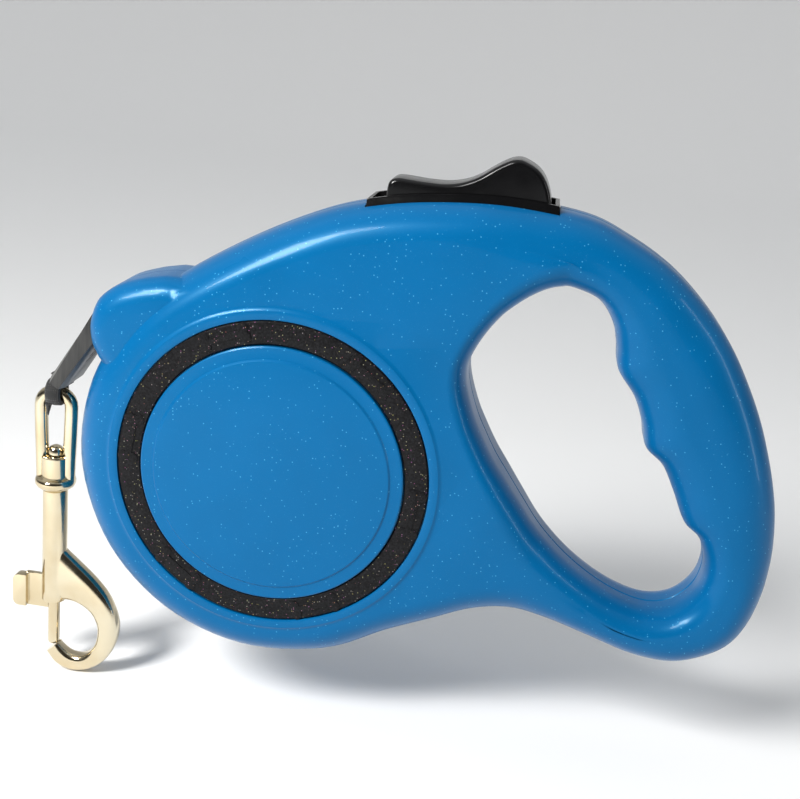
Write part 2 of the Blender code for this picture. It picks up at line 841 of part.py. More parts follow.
def button_bezel():
    """Black frame round the thumb button, held by a lip under the casing's wall."""
    start = BUTTON_START - BEZEL_END
    end = BUTTON_END + BEZEL_END
    item = top_band("button_bezel", start, end, BEZEL_DEPTH, BEZEL_PROUD, BEZEL_HALF, BLACK)
    lip = top_band("bezel_lip", start, end, BEZEL_DEPTH, LIP_RISE - BEZEL_DEPTH, LIP_HALF, cutter=True)
    low = from_reel(BUTTON_START, RAIL_Z)
    high = from_reel(BUTTON_END, RAIL_Z + 40 * MM)
    side = BUTTON_HALF + GAP
    opening = box("bezel_opening", (low.x, -side, low.z), (high.x, side, high.z), cutter=True)
    join(item, lip)
    cut(item, opening)
    return item


# ---------------------------------------------------------------- reel and tape


def arc_points(middle, radius, start, end, steps):
    """Points on an arc, with its angles in degrees."""
    made = []
    for step in range(steps + 1):
        angle = math.radians(mix(start, end, step / steps))
        made.append(Vector(middle) + Vector((math.cos(angle), math.sin(angle))) * radius)
    return made


def reel():
    inner_side = TAPE_WIDTH / 2 + 0.6 * MM
    outer_side = inner_side + FLANGE_THICKNESS
    hub = BEARING_FACE - GAP
    bore = AXLE_RADIUS + GAP
    profile = (
        (bore, hub),
        (bore + 2.7 * MM, hub),
        (bore + 2.7 * MM, outer_side),
        (FLANGE_RADIUS, outer_side),
        (FLANGE_RADIUS, inner_side),
        (CORE_OUTER, inner_side),
        (CORE_OUTER, -inner_side),
        (FLANGE_RADIUS, -inner_side),
        (FLANGE_RADIUS, -outer_side),
        (CORE_OUTER - CORE_WALL, -outer_side),
        (CORE_OUTER - CORE_WALL, inner_side),
        (bore, inner_side),
    )
    item = turned("reel", profile, from_reel(0, 0), INNER, steps=48)
    bm = bmesh.new()
    for index in range(TOOTH_COUNT):
        angle = math.radians(TOOTH_PHASE + 360 * index / TOOTH_COUNT)
        out = Vector((math.cos(angle), math.sin(angle)))
        across = Vector((-out.y, out.x)) * TOOTH_WIDTH / 2
        low = out * (FLANGE_RADIUS - 1.0 * MM)
        high = out * (FLANGE_RADIUS + TOOTH_HEIGHT)
        points = (low - across, high - across * 0.7, high + across * 0.7, low + across)
        for face in (inner_side, -outer_side):
            flat_mesh(bm, world_outline(points), face, face + FLANGE_THICKNESS)
    join(item, add_mesh("reel_teeth", bm, None, True))
    return item


def reel_cover():
    """Disc that closes the spring's chamber, with the far bearing on it."""
    side = -(TAPE_WIDTH / 2 + 0.8 * MM)
    bore = AXLE_RADIUS + GAP
    edge = CORE_OUTER - CORE_WALL - GAP
    profile = (
        (bore, side),
        (edge, side),
        (edge, side - 1.2 * MM),
        (bore + 2.7 * MM, side - 1.2 * MM),
        (bore + 2.7 * MM, -(BEARING_FACE - GAP)),
        (bore, -(BEARING_FACE - GAP)),
    )
    return turned("reel_cover", profile, from_reel(0, 0), INNER, steps=36)


def wound_tape():
    half = TAPE_WIDTH / 2
    inner = CORE_OUTER + GAP
    profile = ((inner, half), (TAPE_OUTER, half), (TAPE_OUTER, -half), (inner, -half))
    return turned("wound_tape", profile, from_reel(0, 0), WEBBING, steps=48)


def spiral_spring():
    """The clock spring, wound flat between the axle and the reel's core."""
    start = AXLE_RADIUS + 1.2 * MM
    end = CORE_OUTER - CORE_WALL - 0.7 * MM
    steps = SPRING_TURNS * 18
    rows = []
    for shift in (0.0, SPRING_STRIP):
        row = []
        for step in range(steps + 1):
            angle = 2 * math.pi * SPRING_TURNS * step / steps
            radius = mix(start, end - SPRING_STRIP, step / steps) + shift
            row.append(Vector((math.cos(angle), math.sin(angle))) * radius)
        rows.append(row)
    outline = world_outline(rows[0] + rows[1][::-1])
    return flat_piece("spiral_spring", outline, TAPE_WIDTH / 2 - 0.2 * MM, SPRING)


def along_box(name, start, end, thickness, half, material=None, cutter=False):
    """A bar between two points in the middle plane, with a thickness across it and a half width along Y."""
    start, end = Vector((start.x, start.z)), Vector((end.x, end.z))
    along = (end - start).normalized()
    across = Vector((-along.y, along.x)) * thickness / 2
    points = (start + across, end + across, end - across, start - across)
    return flat_piece(name, [(point.x, point.y) for point in points], half, material, cutter)


def tape_strip():
    start = SHEATH_PIVOT - ALONG_PULL * PULL_LENGTH
    end = SHEATH_PIVOT - ALONG_PULL * (SHEATH_THICKNESS / 2 + GAP)
    return along_box("tape_strip", start, end, TAPE_THICKNESS, TAPE_WIDTH / 2, WEBBING)


def tape_guide():
    """Liner in the nose, with a slot for the tape and a lug on each side that the shells grip."""
    start = SHEATH_PIVOT - ALONG_PULL * GUIDE_START
    end = SHEATH_PIVOT - ALONG_PULL * (GUIDE_START + GUIDE_LENGTH)
    item = along_box(
        "tape_guide", start, end, 2 * (CHANNEL_HALF - GAP), CHANNEL_SIDE - GAP, INNER
    )
    ahead = ALONG_PULL * 5 * MM
    slot = along_box(
        "guide_slot",
        start + ahead,
        end - ahead,
        TAPE_THICKNESS + 4 * RUN,
        TAPE_WIDTH / 2 + RUN,
        cutter=True,
    )
    for side in (NEAR, FAR):
        lug = guide_pocket(side, 0.0)
        lug.name = "guide_lug_solid_" + ("near" if side == NEAR else "far")
        join(item, lug)
    cut(item, slot)
    return item


def tape_sheath():
    """Stiff sleeve on the tape's end. Its top is round where it turns in the nose."""
    along = Vector((ALONG_SHEATH.x, ALONG_SHEATH.z))
    across = Vector((-along.y, along.x))
    half = SHEATH_THICKNESS / 2
    pivot = Vector(MOUTH)
    turn = math.degrees(math.atan2(across.y, across.x))
    points = arc_points(pivot, half, turn, turn + 180, 8)
    points += [
        pivot + along * SHEATH_LENGTH - across * half,
        pivot + along * SHEATH_LENGTH + across * half,
    ]
    outline = world_outline(points)
    item = flat_piece("tape_sheath", outline, SHEATH_WIDTH / 2, SHEATHING, bevel=1.2 * MM, segments=1)
    room = KNUCKLE_RADIUS + GAP
    side = KNUCKLE_HALF + GAP
    hole = rod("sheath_pocket", KNUCKLE - Y_AXIS * side, KNUCKLE + Y_AXIS * side, room, cutter=True)
    mouth = along_box(
        "sheath_slot", KNUCKLE, KNUCKLE + ALONG_SHEATH * 5 * MM, 2 * room, side, cutter=True
    )
    neck = BAR + Z_AXIS * webbing_inner() * 0.9 - KNUCKLE
    swung = Matrix.Rotation(LOOP_SWING, 3, "Y") @ neck.normalized()
    flare = along_box(
        "sheath_flare", KNUCKLE, KNUCKLE + swung * 5 * MM, NECK_THICKNESS + 2 * GAP, side, cutter=True
    )
    join(hole, mouth, flare)
    cut(item, hole)
    return item


def webbing_inner():
    """Radius of the hole in the webbing, which clears the corners of the eye's square bar."""
    return BAR_RADIUS * math.sqrt(2) + 0.5 * GAP


def webbing_loop():
    """Webbing from the sheath's end round the eye's top bar."""
    item = rod(
        "webbing_loop",
        KNUCKLE - Y_AXIS * KNUCKLE_HALF,
        KNUCKLE + Y_AXIS * KNUCKLE_HALF,
        KNUCKLE_RADIUS,
        WEBBING,
        sides=16,
    )
    inner = webbing_inner()
    outer = inner + WEBBING_THICKNESS
    band = rod("webbing_band", BAR - X_AXIS * WEBBING_HALF, BAR + X_AXIS * WEBBING_HALF, outer, cutter=True)
    eye = rod("webbing_hole", BAR - X_AXIS * 9 * MM, BAR + X_AXIS * 9 * MM, inner, cutter=True)
    neck = along_box(
        "webbing_neck", KNUCKLE, BAR + Z_AXIS * inner * 0.9, NECK_THICKNESS, 2.4 * MM, cutter=True
    )
    join(item, neck, band)
    cut(item, eye)
    return item


# ---------------------------------------------------------------- snap hook


def hook_place(x, height):
    """A point in millimetres from the barrel's axis, and up from the middle of the eye's top bar."""
    return (BAR.x + x * MM, BAR.z + height * MM)


def swivel_eye():
    """Eye, with the collar that the hook's stem turns in."""
    bottom = (WINDOW_BOTTOM - 6.5 * MM) / MM
    half = EYE_HALF / MM
    top = BAR_RADIUS / MM
    corner = 4.2
    right = arc_points((half - corner, top - corner), corner, 0, 90, 5)
    left = arc_points((corner - half, top - corner), corner, 90, 180, 5)
    outline = [hook_place(*point) for point in right + left]
    outline += [hook_place(0.6 - half, bottom), hook_place(half - 0.6, bottom)]
    item = flat_piece("swivel_eye", outline, BAR_RADIUS, STEEL, bevel=1.1 * MM, segments=2)

    inner = WINDOW_HALF / MM
    under = -BAR_RADIUS / MM
    window = arc_points((inner - 0.4, under - 0.4), 0.4, 0, 90, 2)
    window += arc_points((0.4 - inner, under - 0.4), 0.4, 90, 180, 2)
    low = WINDOW_BOTTOM / MM - 0.3
    window = [hook_place(*point) for point in window]
    window += [hook_place(-inner, low), hook_place(inner, low)]
    cut(item, flat_piece("eye_window", window, 6 * MM, cutter=True))

    profile = (
        (0.0, WINDOW_BOTTOM),
        (3.2 * MM, WINDOW_BOTTOM),
        (3.6 * MM, WINDOW_BOTTOM - 0.4 * MM),
        (3.6 * MM, EYE_BOTTOM + 3.4 * MM),
        (4.9 * MM, EYE_BOTTOM + 2.7 * MM),
        (5.2 * MM, EYE_BOTTOM + 1.6 * MM),
        (4.8 * MM, EYE_BOTTOM + 0.5 * MM),
        (3.9 * MM, EYE_BOTTOM),
        (0.0, EYE_BOTTOM),
    )
    collar = turned("eye_collar", profile, BAR, steps=24, cutter=True, upright=True)
    bore = rod(
        "eye_bore",
        BAR + Z_AXIS * (EYE_BOTTOM - 1 * MM),
        BAR + Z_AXIS * (WINDOW_BOTTOM + 1 * MM),
        STEM_RADIUS + GAP,
        sides=16,
        cutter=True,
    )
    join(item, collar)
    cut(item, bore)
    return item


# The hook from the barrel's right side round to its tip and back up the inside, in millimetres from the barrel's
# axis and from the eye's top bar.
HOOK_OUTSIDE = (
    (-1.2, -42.0),
    (3.1, -43.6),
    (9.2, -48.5),
    (15.2, -55.0),
    (18.1, -63.0),
    (16.9, -70.1),
    (13.9, -74.9),
    (10.0, -77.6),
    (5.8, -78.4),
    (0.4, -76.0),
    (-2.2, -71.9),
)
HOOK_INSIDE = (
    (1.7, -70.4),
    (4.3, -73.0),
    (7.7, -73.6),
    (10.6, -71.4),
    (12.4, -67.5),
    (12.3, -63.6),
    (10.4, -60.2),
    (7.4, -58.3),
    (4.1, -57.5),
    (-1.2, -57.5),
)


def hook_body():
    """Barrel and hook in one casting, with the stem and the riveted head that hold it in the eye."""
    top = EYE_BOTTOM - GAP
    head = WINDOW_BOTTOM + GAP
    profile = (
        (0.0, head + 2.4 * MM),
        (1.2 * MM, head + 2.2 * MM),
        (1.9 * MM, head + 1.3 * MM),
        (1.9 * MM, head),
        (STEM_RADIUS, head),
        (STEM_RADIUS, top),
        (BARREL_RADIUS - 0.3 * MM, top),
        (BARREL_RADIUS, top - 0.5 * MM),
        (BARREL_RADIUS, BARREL_BOTTOM + 0.3 * MM),
        (BARREL_RADIUS - 0.3 * MM, BARREL_BOTTOM),
        (0.0, BARREL_BOTTOM),
    )
    item = turned("hook_body", profile, BAR, STEEL, steps=24, upright=True)
    outside = spline(HOOK_OUTSIDE, 2, closed=False)
    inside = spline(HOOK_INSIDE, 2, closed=False)
    outline = [hook_place(*point) for point in outside + inside]
    crescent = flat_piece("hook_crescent", outline, HOOK_HALF, cutter=True, bevel=1.3 * MM, segments=2)
    bore = rod(
        "bolt_bore",
        BAR + Z_AXIS * (BOLT_END - GAP),
        BAR + Z_AXIS * (BOLT_TOP + SPRING_ROOM),
        BOLT_RADIUS + GAP,
        sides=16,
        cutter=True,
    )
    slot = box(
        "tab_slot",
        BAR + Vector((-3 * BARREL_RADIUS, -TAB_HALF - GAP, BARREL_BOTTOM - 3 * MM)),
        BAR + Vector((0.0, TAB_HALF + GAP, TAB_TOP + BOLT_TRAVEL + RUN)),
        cutter=True,
    )
    join(item, crescent)
    cut(item, bore, slot)
    return item


def hook_bolt():
    """Sliding bolt with its bent thumb tab."""
    profile = (
        (0.0, BOLT_TOP),
        (BOLT_RADIUS, BOLT_TOP),
        (BOLT_RADIUS, BOLT_END + 0.5 * MM),
        (BOLT_RADIUS - 0.5 * MM, BOLT_END),
        (0.0, BOLT_END),
    )
    item = turned("hook_bolt", profile, BAR, STEEL, steps=16, upright=True)
    bend = -0.66 * TAB_REACH
    plate = box(
        "tab_plate",
        BAR + Vector((bend - 0.6 * MM, -TAB_HALF, TAB_TOP - TAB_HEIGHT)),
        BAR + Vector((0.0, TAB_HALF, TAB_TOP)),
        cutter=True,
    )
    thumb = box(
        "tab_thumb",
        BAR + Vector((-TAB_REACH, -TAB_HALF - 1.6 * MM, TAB_TOP - TAB_HEIGHT + 0.3 * MM)),
        BAR + Vector((bend, TAB_HALF - 0.2 * MM, TAB_TOP - 0.3 * MM)),
        cutter=True,
    )
    join(item, plate, thumb)
    return item


def coil(name, start, end, radius, wire, turns):
    """A coil spring between two heights on a vertical line."""
    curve = bpy.data.curves.new(name, "CURVE")
    curve.dimensions = "3D"
    curve.bevel_depth = wire / 2
    curve.bevel_resolution = 1
    curve.use_fill_caps = True
    steps = turns * 10
    line = curve.splines.new("POLY")
    line.points.add(steps)
    for step, point in enumerate(line.points):
        angle = 2 * math.pi * turns * step / steps
        height = mix(start.z + wire / 2, end.z - wire / 2, step / steps)
        x = start.x + radius * math.cos(angle)
        point.co = (x, start.y + radius * math.sin(angle), height, 1.0)
    item = bpy.data.objects.new(name, curve)
    curve.materials.append(SPRING)
    PARTS.objects.link(item)
    return item


# ---------------------------------------------------------------- brake


def brake_button():
    """Thumb button on a pin at its back. Its leg drops into the reel's teeth when the front is pressed."""
    upper = (
        (20.3, 67.4),
        (20.3, 71.0),
        (21.1, 72.2),
        (22.8, 72.5),
        (33.7, 72.3),
        (37.4, 73.1),
        (40.8, 74.7),
        (44.4, 77.3),
        (47.3, 79.0),
        (49.2, 79.5),
        (51.0, 79.2),
        (53.8, 77.8),
        (55.6, 75.9),
        (56.8, 73.6),
        (57.6, 71.0),
        (57.9, 68.0),
        (57.9, 63.2),
        (52.2, 63.2),
        (50.8, 66.2),
        (25.2, 66.2),
    )
    tip = math.radians(LEG_POLAR)
    out = Vector((math.cos(tip), math.sin(tip)))
    across = Vector((out.y, -out.x))
    foot = out * (FLANGE_RADIUS + TOOTH_HEIGHT + RUN + 0.3 * MM)
    outline = [Vector((x * MM, z * MM)) for x, z in upper]
    item = flat_piece(
        "brake_button", world_outline(outline), BUTTON_HALF, BLACK, bevel=0.9 * MM, segments=2
    )
    leg = [
        Vector((20.6 * MM, 69.0 * MM)),
        Vector((24.6 * MM, 69.0 * MM)),
        Vector((23.8 * MM, 60.0 * MM)),
        foot + out * 4 * MM + across * 1.5 * MM,
        foot + across * 1.4 * MM,
        foot - across * 1.4 * MM,
        foot + out * 4 * MM - across * 1.5 * MM,
        Vector((20.2 * MM, 62.0 * MM)),
    ]
    leg_solid = flat_piece("button_leg", world_outline(leg), BUTTON_HALF - 0.4 * MM, cutter=True)
    foot_outline = [
        foot + out * 3.5 * MM + across * 1.45 * MM,
        foot + across * 1.4 * MM,
        foot - across * 1.4 * MM,
        foot + out * 3.5 * MM - across * 1.45 * MM,
    ]
    side = TAPE_WIDTH / 2 + 0.6 * MM + FLANGE_THICKNESS
    foot_solid = flat_piece("button_foot", world_outline(foot_outline), side, cutter=True)
    pin = from_reel(*PIVOT)
    hole = rod(
        "button_pin_hole",
        pin - Y_AXIS * BUTTON_HALF * 2,
        pin + Y_AXIS * BUTTON_HALF * 2,
        PIN_RADIUS + GAP,
        cutter=True,
    )
    slot = box(
        "button_ear_slot",
        pin + Vector((-4.0 * MM, -EAR_HALF - GAP, -5 * MM)),
        pin + Vector((6.0 * MM, EAR_HALF + GAP, EAR_RADIUS + RUN)),
        cutter=True,
    )
    join(item, leg_solid, foot_solid)
    cut(item, slot, hole)
    return item


def lock_slide():
    """Carriage under the button. It runs forward on the shells' rails to lock the brake."""
    low = from_reel(BUTTON_START - 1.8 * MM, RAIL_Z + GAP)
    high = from_reel(BUTTON_END, RAIL_Z + GAP + SLIDE_THICKNESS)
    item = box(
        "lock_slide",
        (low.x, -SLIDE_HALF, low.z),
        (high.x, SLIDE_HALF, high.z),
        INNER,
    )
    front = from_reel(BUTTON_START, RAIL_Z - 1 * MM)
    back = from_reel(25.5 * MM, RAIL_Z + 4 * MM)
    side = TAPE_WIDTH / 2 + 0.9 * MM + FLANGE_THICKNESS
    opening = box("leg_opening", (front.x, -side, front.z), (back.x, side, back.z), cutter=True)
    pivot = Vector(PIVOT)
    ear = arc_points(pivot, EAR_RADIUS, 0, 180, 8)
    foot = RAIL_Z + GAP + 0.5 * MM
    ear += [Vector((pivot.x - EAR_RADIUS, foot)), Vector((pivot.x + EAR_RADIUS, foot))]
    ear_solid = flat_piece("slide_ear", world_outline(ear), EAR_HALF, cutter=True)
    pin = from_reel(*PIVOT)
    hole = rod(
        "slide_pin_hole", pin - Y_AXIS * 9 * MM, pin + Y_AXIS * 9 * MM, PIN_RADIUS + GAP, cutter=True
    )
    cut(item, opening)
    join(item, ear_solid)
    cut(item, hole)
    return item


def joint_empty(name, place, parent=None):
    """An empty on a joint's axis, which carries the pieces that move about it."""
    item = bpy.data.objects.new(name, None)
    item.empty_display_size = 0.01
    PARTS.objects.link(item)
    item.location = place
    bpy.context.view_layer.update()
    if parent:
        hang(item, parent)
    return item


def hang(item, parent):
    item.parent = parent
    item.matrix_parent_inverse = parent.matrix_world.inverted()
    bpy.context.view_layer.update()


def build():
    casing_shell(NEAR)
    casing_shell(FAR)
    ring_insert("near_ring_insert", NEAR)
    ring_insert("far_ring_insert", FAR)
    button_bezel()
    tape_guide()
    axle = AXLE_END
    rod("reel_axle", from_reel(0, 0, -axle), from_reel(0, 0, axle), AXLE_RADIUS, SPRING, sides=24)
    for number, spot in enumerate(screw_spots(), 1):
        case_screw("case_screw_" + str(number), spot)

    reel_joint = joint_empty("reel_joint", from_reel(0, 0))
    for item in (reel(), reel_cover(), wound_tape(), spiral_spring()):
        hang(item, reel_joint)

    tape_joint = joint_empty("tape_joint", SHEATH_PIVOT)
    hang(tape_strip(), tape_joint)
    sheath_joint = joint_empty("sheath_joint", SHEATH_PIVOT, tape_joint)
    hang(tape_sheath(), sheath_joint)
    loop_joint = joint_empty("loop_joint", KNUCKLE, sheath_joint)
    hang(webbing_loop(), loop_joint)
    eye_joint = joint_empty("eye_joint", BAR, loop_joint)
    hang(swivel_eye(), eye_joint)
    swivel_joint = joint_empty("swivel_joint", BAR, eye_joint)
    hang(hook_body(), swivel_joint)
    spring_low = BAR + Z_AXIS * (BOLT_TOP + GAP)
    spring_high = BAR + Z_AXIS * (BOLT_TOP + SPRING_ROOM - GAP)
    hang(coil("hook_spring", spring_low, spring_high, 1.25 * MM, 0.5 * MM, 7), swivel_joint)
    bolt_joint = joint_empty("bolt_joint", BAR, swivel_joint)
    hang(hook_bolt(), bolt_joint)

    slide_joint = joint_empty("slide_joint", from_reel(*PIVOT))
    hang(lock_slide(), slide_joint)
    pin = from_reel(*PIVOT)
    reach = Y_AXIS * (BUTTON_HALF - GAP)
    hang(rod("button_pin", pin - reach, pin + reach, PIN_RADIUS, STEEL, sides=12), slide_joint)
    low = from_reel(BUTTON_SPRING_X, RAIL_Z + 2 * GAP + SLIDE_THICKNESS)
    high = from_reel(BUTTON_SPRING_X, 66.2 * MM - GAP)
    hang(coil("button_spring", low, high, 2.6 * MM, 0.5 * MM, 4), slide_joint)
    press_joint = joint_empty("press_joint", pin, slide_joint)
    hang(brake_button(), press_joint)


build()
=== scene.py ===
"""Finished surfaces for a retractable dog leash: pearl blue casing, black trim, tape sheath and snap hook.

Run as a script. Every piece is modelled where it lies, in metres: +X from the reel towards the hand grip,
+Z up and the near side at -Y.
"""

import json
import math

import bmesh
import bpy
from mathutils import Matrix, Vector


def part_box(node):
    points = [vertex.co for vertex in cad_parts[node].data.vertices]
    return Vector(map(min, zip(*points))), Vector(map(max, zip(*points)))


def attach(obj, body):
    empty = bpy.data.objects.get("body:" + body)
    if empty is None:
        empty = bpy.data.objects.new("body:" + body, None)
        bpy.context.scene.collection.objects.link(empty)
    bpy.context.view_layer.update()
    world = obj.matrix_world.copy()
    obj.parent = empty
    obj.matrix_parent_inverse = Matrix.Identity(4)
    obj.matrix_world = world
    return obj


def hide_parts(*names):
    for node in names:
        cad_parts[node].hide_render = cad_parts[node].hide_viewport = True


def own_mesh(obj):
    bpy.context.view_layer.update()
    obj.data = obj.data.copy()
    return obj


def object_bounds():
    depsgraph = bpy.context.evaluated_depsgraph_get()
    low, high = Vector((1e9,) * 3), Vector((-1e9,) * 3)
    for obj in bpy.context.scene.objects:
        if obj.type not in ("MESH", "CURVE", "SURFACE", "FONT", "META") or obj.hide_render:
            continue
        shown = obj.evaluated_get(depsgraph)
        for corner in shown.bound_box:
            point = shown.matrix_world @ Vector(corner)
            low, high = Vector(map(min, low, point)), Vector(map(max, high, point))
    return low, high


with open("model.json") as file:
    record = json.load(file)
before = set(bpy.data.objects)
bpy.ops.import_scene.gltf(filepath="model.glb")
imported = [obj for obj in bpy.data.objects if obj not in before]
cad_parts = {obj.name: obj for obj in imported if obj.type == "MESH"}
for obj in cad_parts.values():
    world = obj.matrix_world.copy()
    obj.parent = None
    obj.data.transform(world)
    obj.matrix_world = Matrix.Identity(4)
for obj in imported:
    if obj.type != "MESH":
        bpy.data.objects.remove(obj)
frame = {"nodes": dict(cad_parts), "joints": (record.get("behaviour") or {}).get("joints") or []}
CAD_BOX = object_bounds()

bl_info = {
    "name": "Retractable Leash Finish",
    "version": (1, 0, 0),
    "blender": (4, 5, 0),
    "location": "3D View > Sidebar > Leash",
    "description": "Builds the finished casing, brake, tape and snap hook of a retractable dog leash",
    "category": "Object",
}

MM = 0.001
X_AXIS = Vector((1.0, 0.0, 0.0))
Y_AXIS = Vector((0.0, 1.0, 0.0))
Z_AXIS = Vector((0.0, 0.0, 1.0))
NEAR = -1
FAR = 1
ADD = "UNION"
CUT = "DIFFERENCE"
SPARKLE = 0.42 * MM  # distance between the sparkles in the ring
WELD = 0.000002  # points nearer than this are one
LEVEL = 1e-9  # an edge is level in Y within this


def joint(name):
    """One joint's row in the frame."""
    for row in frame["joints"]:
        if row["name"] == name:
            return row
    raise RuntimeError("the frame has no joint called " + name)


REEL = Vector(joint("reel_spin")["pos_m"])
MOUTH = Vector(joint("sheath_swing")["pos_m"])
KNUCKLE = Vector(joint("loop_flex")["pos_m"])
BAR = Vector(joint("eye_swing")["pos_m"])
PRESS_PIN = Vector(joint("brake_press")["pos_m"])
PULL = Vector(joint("tape_pull")["axis"]).normalized()
SHEATH_LINE = (BAR - MOUTH).normalized()


# ------------------------------------------------------------ settings


def length(name, text, default):
    return bpy.props.FloatProperty(name=name, description=text, default=default, unit="LENGTH", precision=5)


def colour(name, text, default):
    return bpy.props.FloatVectorProperty(
        name=name, description=text, default=default, subtype="COLOR", size=3, min=0.0, max=1.0
    )


class LeashSizes(bpy.types.PropertyGroup):
    parting: length("Parting", "From the middle plane to each shell's edge", 0.15 * MM)
    wall: length("Wall", "Thickness of the casing's wall", 2.4 * MM)
    drum_half: length("Drum half", "Half the thickness of the drum", 13.5 * MM)
    grip_half: length("Grip half", "Half the thickness of the hand grip", 11.0 * MM)
    ring_outer: length("Ring outside", "Outer radius of the patterned ring's groove", 38.2 * MM)
    ring_inner: length("Ring inside", "Inner radius of the patterned ring's groove", 32.0 * MM)
    fleck: length("Fleck", "Distance between the flecks in the casing's colour", 0.95 * MM)
    weave: length("Weave", "Distance between the webbing's yarns", 0.5 * MM)


class LeashColours(bpy.types.PropertyGroup):
    casing: colour("Casing", "Pearl blue of the casing", (0.0005, 0.112, 0.300))
    fleck: colour("Fleck", "Flecks in the casing", (0.07, 0.38, 0.66))
    trim: colour("Trim", "Black of the button and its frame", (0.003, 0.003, 0.0033))
    ring: colour("Ring", "Black of the patterned ring", (0.0045, 0.0045, 0.005))
    # painted sheen: the sheath's wide faces get this grey for the light they catch at a grazing angle
    sheath: colour("Sheath", "Wide faces of the sheath", (0.14, 0.14, 0.135))
    metal: colour("Metal", "Nickel plate of the snap hook", (0.72, 0.64, 0.47))
    floor: colour("Floor", "Studio floor", (0.94, 0.94, 0.94))


# ------------------------------------------------------------ materials


def sizes():
    return bpy.context.scene.leash_sizes


def colours():
    return bpy.context.scene.leash_colours


class Shader:
    """A material's node tree, with short calls for the nodes that the finishes need."""

    def __init__(self, name):
        self.material = bpy.data.materials.new(name)
        self.material.use_nodes = True
        self.tree = self.material.node_tree
        self.surface = self.tree.nodes["Principled BSDF"]
        self.place = self.node("ShaderNodeTexCoord").outputs["Object"]

    def node(self, kind, **settings):
        made = self.tree.nodes.new(kind)
        for key, value in settings.items():
            setattr(made, key, value)
        return made

    def link(self, source, target):
        self.tree.links.new(source, target)

    def set(self, **values):
        for key, value in values.items():
            self.surface.inputs[key.replace("_", " ")].default_value = value

    def specks(self, scale, dot_edge, chosen, strength):
        """Round specks in some cells of a pattern: how strong each place is, and the cells' own colours."""
        cells = self.node("ShaderNodeTexVoronoi", feature="F1")
        cells.inputs["Scale"].default_value = scale
        self.link(self.place, cells.inputs["Vector"])
        dot = self.ramp(cells.outputs["Distance"], *dot_edge, 1.0, 0.0)
        parts = self.node("ShaderNodeSeparateColor")
        self.link(cells.outputs["Color"], parts.inputs["Color"])
        picked = self.ramp(parts.outputs["Red"], *chosen)
        return self.multiply(self.multiply(dot, picked), strength), cells.outputs["Color"]

    def noise(self, scale, detail=3.0, roughness=0.5):
        made = self.node("ShaderNodeTexNoise")
        made.inputs["Scale"].default_value = scale
        made.inputs["Detail"].default_value = detail
        made.inputs["Roughness"].default_value = roughness
        self.link(self.place, made.inputs["Vector"])
        return made.outputs["Fac"]

    def ramp(self, value, low, high, low_value=0.0, high_value=1.0):
        made = self.node("ShaderNodeMapRange", clamp=True)
        made.inputs["From Min"].default_value = low
        made.inputs["From Max"].default_value = high
        made.inputs["To Min"].default_value = low_value
        made.inputs["To Max"].default_value = high_value
        self.link(value, made.inputs["Value"])
        return made.outputs["Result"]

    def multiply(self, first, second):
        made = self.node("ShaderNodeMath", operation="MULTIPLY")
        self.link(first, made.inputs[0])
        if isinstance(second, float):
            made.inputs[1].default_value = second
        else:
            self.link(second, made.inputs[1])
        return made.outputs["Value"]

    def blend(self, factor, first, second):
        """Mixes two colours, tuples or outputs of nodes, by a number or an output."""
        made = self.node("ShaderNodeMix", data_type="RGBA")
        if isinstance(factor, float):
            made.inputs["Factor"].default_value = factor
        else:
            self.link(factor, made.inputs["Factor"])
        for socket, value in ((made.inputs[6], first), (made.inputs[7], second)):
            if isinstance(value, tuple):
                socket.default_value = (*value[:3], 1.0)
            else:
                self.link(value, socket)
        return made.outputs[2]

    def base_colour(self, factor, first, second):
        self.link(self.blend(factor, first, second), self.surface.inputs["Base Color"])

    def mottled(self, scale, first, second, detail=3.0, low=0.3):
        """Base colour that drifts between two colours."""
        self.base_colour(self.ramp(self.noise(scale, detail), low, 0.7), first, second)

    def roughness(self, value, low, high, smooth, rough):
        self.link(self.ramp(value, low, high, smooth, rough), self.surface.inputs["Roughness"])

    def bump(self, height, strength, distance=0.0001):
        made = self.node("ShaderNodeBump")
        made.inputs["Strength"].default_value = strength
        made.inputs["Distance"].default_value = distance
        self.link(height, made.inputs["Height"])
        self.link(made.outputs["Normal"], self.surface.inputs["Normal"])


def shaded(tone, share):
    """A colour with every channel scaled."""
    return tuple(channel * share for channel in tone)


def pearl_blue():
    """Moulded plastic with a pearl sheen and fine pale flecks under a clear gloss."""
    shader = Shader("pearl_blue_casing")
    base, fleck = tuple(colours().casing), tuple(colours().fleck)
    spots, _ = shader.specks(1.0 / sizes().fleck, (0.10, 0.20), (0.66, 0.72), 0.75)
    fine_spots, _ = shader.specks(2.6 / sizes().fleck, (0.12, 0.30), (0.5, 1.0), 0.14)
    cloud = shader.ramp(shader.noise(60.0, 4.0), 0.3, 0.7)
    body = shader.blend(cloud, shaded(base, 0.93), base)
    body = shader.blend(fine_spots, body, fleck)
    shader.base_colour(spots, body, fleck)
    shader.roughness(shader.noise(35.0), 0.2, 0.8, 0.26, 0.36)
    shader.bump(shader.noise(700.0, 2.0), 0.06)
    shader.set(Specular_IOR_Level=0.30, Specular_Tint=(0.25, 0.70, 1.0, 1.0))
    shader.set(Coat_Weight=0.12, Coat_Roughness=0.05, Coat_IOR=1.45)
    return shader.material


def gloss_black():
    """Polished black plastic with fine handling marks."""
    shader = Shader("gloss_black_trim")
    base = tuple(colours().trim)
    shader.roughness(shader.noise(180.0, 6.0, 0.7), 0.3, 0.7, 0.13, 0.22)
    shader.mottled(40.0, base, shaded(base, 1.6))
    shader.bump(shader.noise(900.0, 2.0), 0.03)
    shader.set(Specular_IOR_Level=0.35)
    return shader.material


